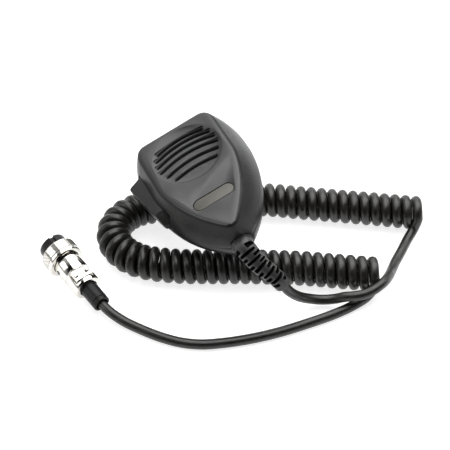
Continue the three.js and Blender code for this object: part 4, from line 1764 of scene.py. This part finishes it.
# ---------------------------------------------------------------- what stays inside
class Inside:
    """The CAD nodes that stay as they are, each given a finish of its own."""

    finishes: dict[str, Finish] = {
        "grille_cloth": Finish.CLOTH,
        "mic_capsule": Finish.STEEL,
        "capsule_grommet": Finish.RUBBER,
        "circuit_board": Finish.BOARD,
        "board_screw": Finish.STEEL,
        "capacitor": Finish.STEEL,
        "amplifier_chip": Finish.BLACK,
        "cord_header": Finish.BLACK,
        "talk_switch": Finish.BLACK,
        "switch_plunger": Finish.BLACK,
        "lever_pin": Finish.STEEL,
        "lever_spring": Finish.STEEL,
        "stud_nut": Finish.BRASS,
        "cord_clamp": Finish.STEEL,
        "cord_end": Finish.JACKET,
        "capsule_lead": Finish.BRASS,
        "socket_contact": Finish.BRASS,
    }

    def dress(self) -> None:
        """Gives each hidden piece its material."""
        for name, node in frame["nodes"].items():
            for start, finish in self.finishes.items():
                if name.startswith(start):
                    node.data.materials.clear()
                    node.data.materials.append(finish.material)


# ---------------------------------------------------------------- the studio
@dataclass
class Studio:
    """Plain pale floor, soft lights and the camera. Metres."""

    azimuth: float = -24.1
    elevation: float = 44.0
    distance: float = 0.7
    target: tuple[float, float, float] = (0.0166, 0.0224, TABLE)
    focal: float = 112.0

    def towards_camera(self) -> Vector:
        """The direction from the target to the camera.

        Returns:
            A vector of length 1.
        """
        a, e = math.radians(self.azimuth), math.radians(self.elevation)
        return Vector((math.sin(a) * math.cos(e), -math.cos(a) * math.cos(e), math.sin(e)))

    def camera(self) -> None:
        """Sets the camera up."""
        data = bpy.data.cameras.new("camera")
        data.lens = self.focal
        data.sensor_width = 36.0
        data.clip_start, data.clip_end = 0.02, 20.0
        camera = bpy.data.objects.new("camera", data)
        bpy.context.scene.collection.objects.link(camera)
        back = self.towards_camera()
        camera.location = Vector(self.target) + back * self.distance
        camera.rotation_euler = (-back).to_track_quat("-Z", "Y").to_euler()
        bpy.context.scene.camera = camera

    def room(self, world: bpy.types.World) -> None:
        """Paints the room: pale towards the back, dim behind the camera.

        Args:
            world: The world that stands for the room.
        """
        tree = world.node_tree
        place = tree.nodes.new("ShaderNodeTexCoord").outputs["Generated"]
        across = tree.nodes.new("ShaderNodeSeparateXYZ")
        tree.links.new(place, across.inputs[0])
        facing = tree.nodes.new("ShaderNodeVectorMath")
        facing.operation = "DOT_PRODUCT"
        tree.links.new(place, facing.inputs[0])
        facing.inputs[1].default_value = self.towards_camera()
        level = tree.nodes.new("ShaderNodeMath")
        level.operation = "MULTIPLY"
        ramps = (
            (across.outputs["Y"], (-0.5, 0.6, 0.2, 0.5)),
            (facing.outputs["Value"], (0.5, 0.8, 1.0, 0.03)),
        )
        for socket, (value, ends) in enumerate(ramps):
            ramp = tree.nodes.new("ShaderNodeMapRange")
            ramp.interpolation_type = "SMOOTHSTEP"
            tree.links.new(value, ramp.inputs["Value"])
            for name, end in zip(("From Min", "From Max", "To Min", "To Max"), ends):
                ramp.inputs[name].default_value = end
            tree.links.new(ramp.outputs["Result"], level.inputs[socket])
        background = tree.nodes["Background"]
        tree.links.new(level.outputs["Value"], background.inputs["Strength"])
        background.inputs["Color"].default_value = (1.0, 1.0, 1.0, 1.0)

    def softbox(
        self,
        name: str,
        spot: tuple[float, float, float],
        size: tuple[float, float],
        power: float,
        level: bool = False,
    ) -> None:
        """Hangs a soft rectangular light.

        Args:
            name: Its name.
            spot: Where it hangs.
            size: Its width and height.
            power: Its power in watts.
            level: True where it faces straight down and not towards the microphone.
        """
        data = bpy.data.lights.new(name, "AREA")
        data.shape = "RECTANGLE"
        data.size, data.size_y = size
        data.energy = power
        light = bpy.data.objects.new(name, data)
        bpy.context.scene.collection.objects.link(light)
        light.location = spot
        if not level:
            light.rotation_euler = (Vector(self.target) - Vector(spot)).to_track_quat("-Z", "Y").to_euler()

    def floor(self) -> None:
        """Lays the pale floor, lit from below like a light table."""
        for other in bpy.context.view_layer.objects:
            other.select_set(False)
        bpy.ops.mesh.primitive_plane_add(size=6.0, location=(0, 0, TABLE))
        floor = bpy.context.object
        floor.name = "floor"
        g = Graph("light table")
        shade = g.mix(g.noise(60.0, 3.0), (0.5, 0.5, 0.5), (0.53, 0.53, 0.53))
        g.put(g.shader.inputs["Base Color"], shade)
        g.shader.inputs["Roughness"].default_value = 0.9
        g.shader.inputs["Specular IOR Level"].default_value = 0.1
        g.shader.inputs["Emission Color"].default_value = (1.0, 1.0, 1.0, 1.0)
        g.shader.inputs["Emission Strength"].default_value = 0.8
        floor.data.materials.append(g.material)

    def build(self) -> None:
        """Sets up the world, the lights, the floor and the camera."""
        scene = bpy.context.scene
        scene.view_settings.view_transform = "Standard"
        world = bpy.data.worlds.new("studio")
        scene.world = world
        world.use_nodes = True
        self.room(world)
        self.softbox("overhead", (0.13, 0.08, 0.32), (0.54, 0.46), 2.9, level=True)
        self.softbox("rear", (0.35, 1.15, 0.6), (1.6, 0.6), 5.0)
        self.softbox("left", (-1.0, 0.25, 0.55), (0.5, 0.8), 2.5)
        self.softbox("right", (1.0, 0.1, 0.6), (0.4, 0.8), 2.5)
        self.floor()
        self.camera()


def main() -> None:
    """Builds the object piece by piece, then the studio round it."""
    logging.basicConfig(level=logging.INFO, format="%(message)s")
    studio = Studio()
    plug_pieces = RadioPlug().dress()
    contacts = [frame["nodes"][f"socket_contact_{i}"] for i in range(1, 8)]
    CurlyCord().dress(plug_pieces + contacts)
    StrainRelief().dress()
    Case().dress()
    TalkLever().dress()
    HangStud().dress()
    Inside().dress()
    studio.build()


if __name__ == "__main__":
    main()
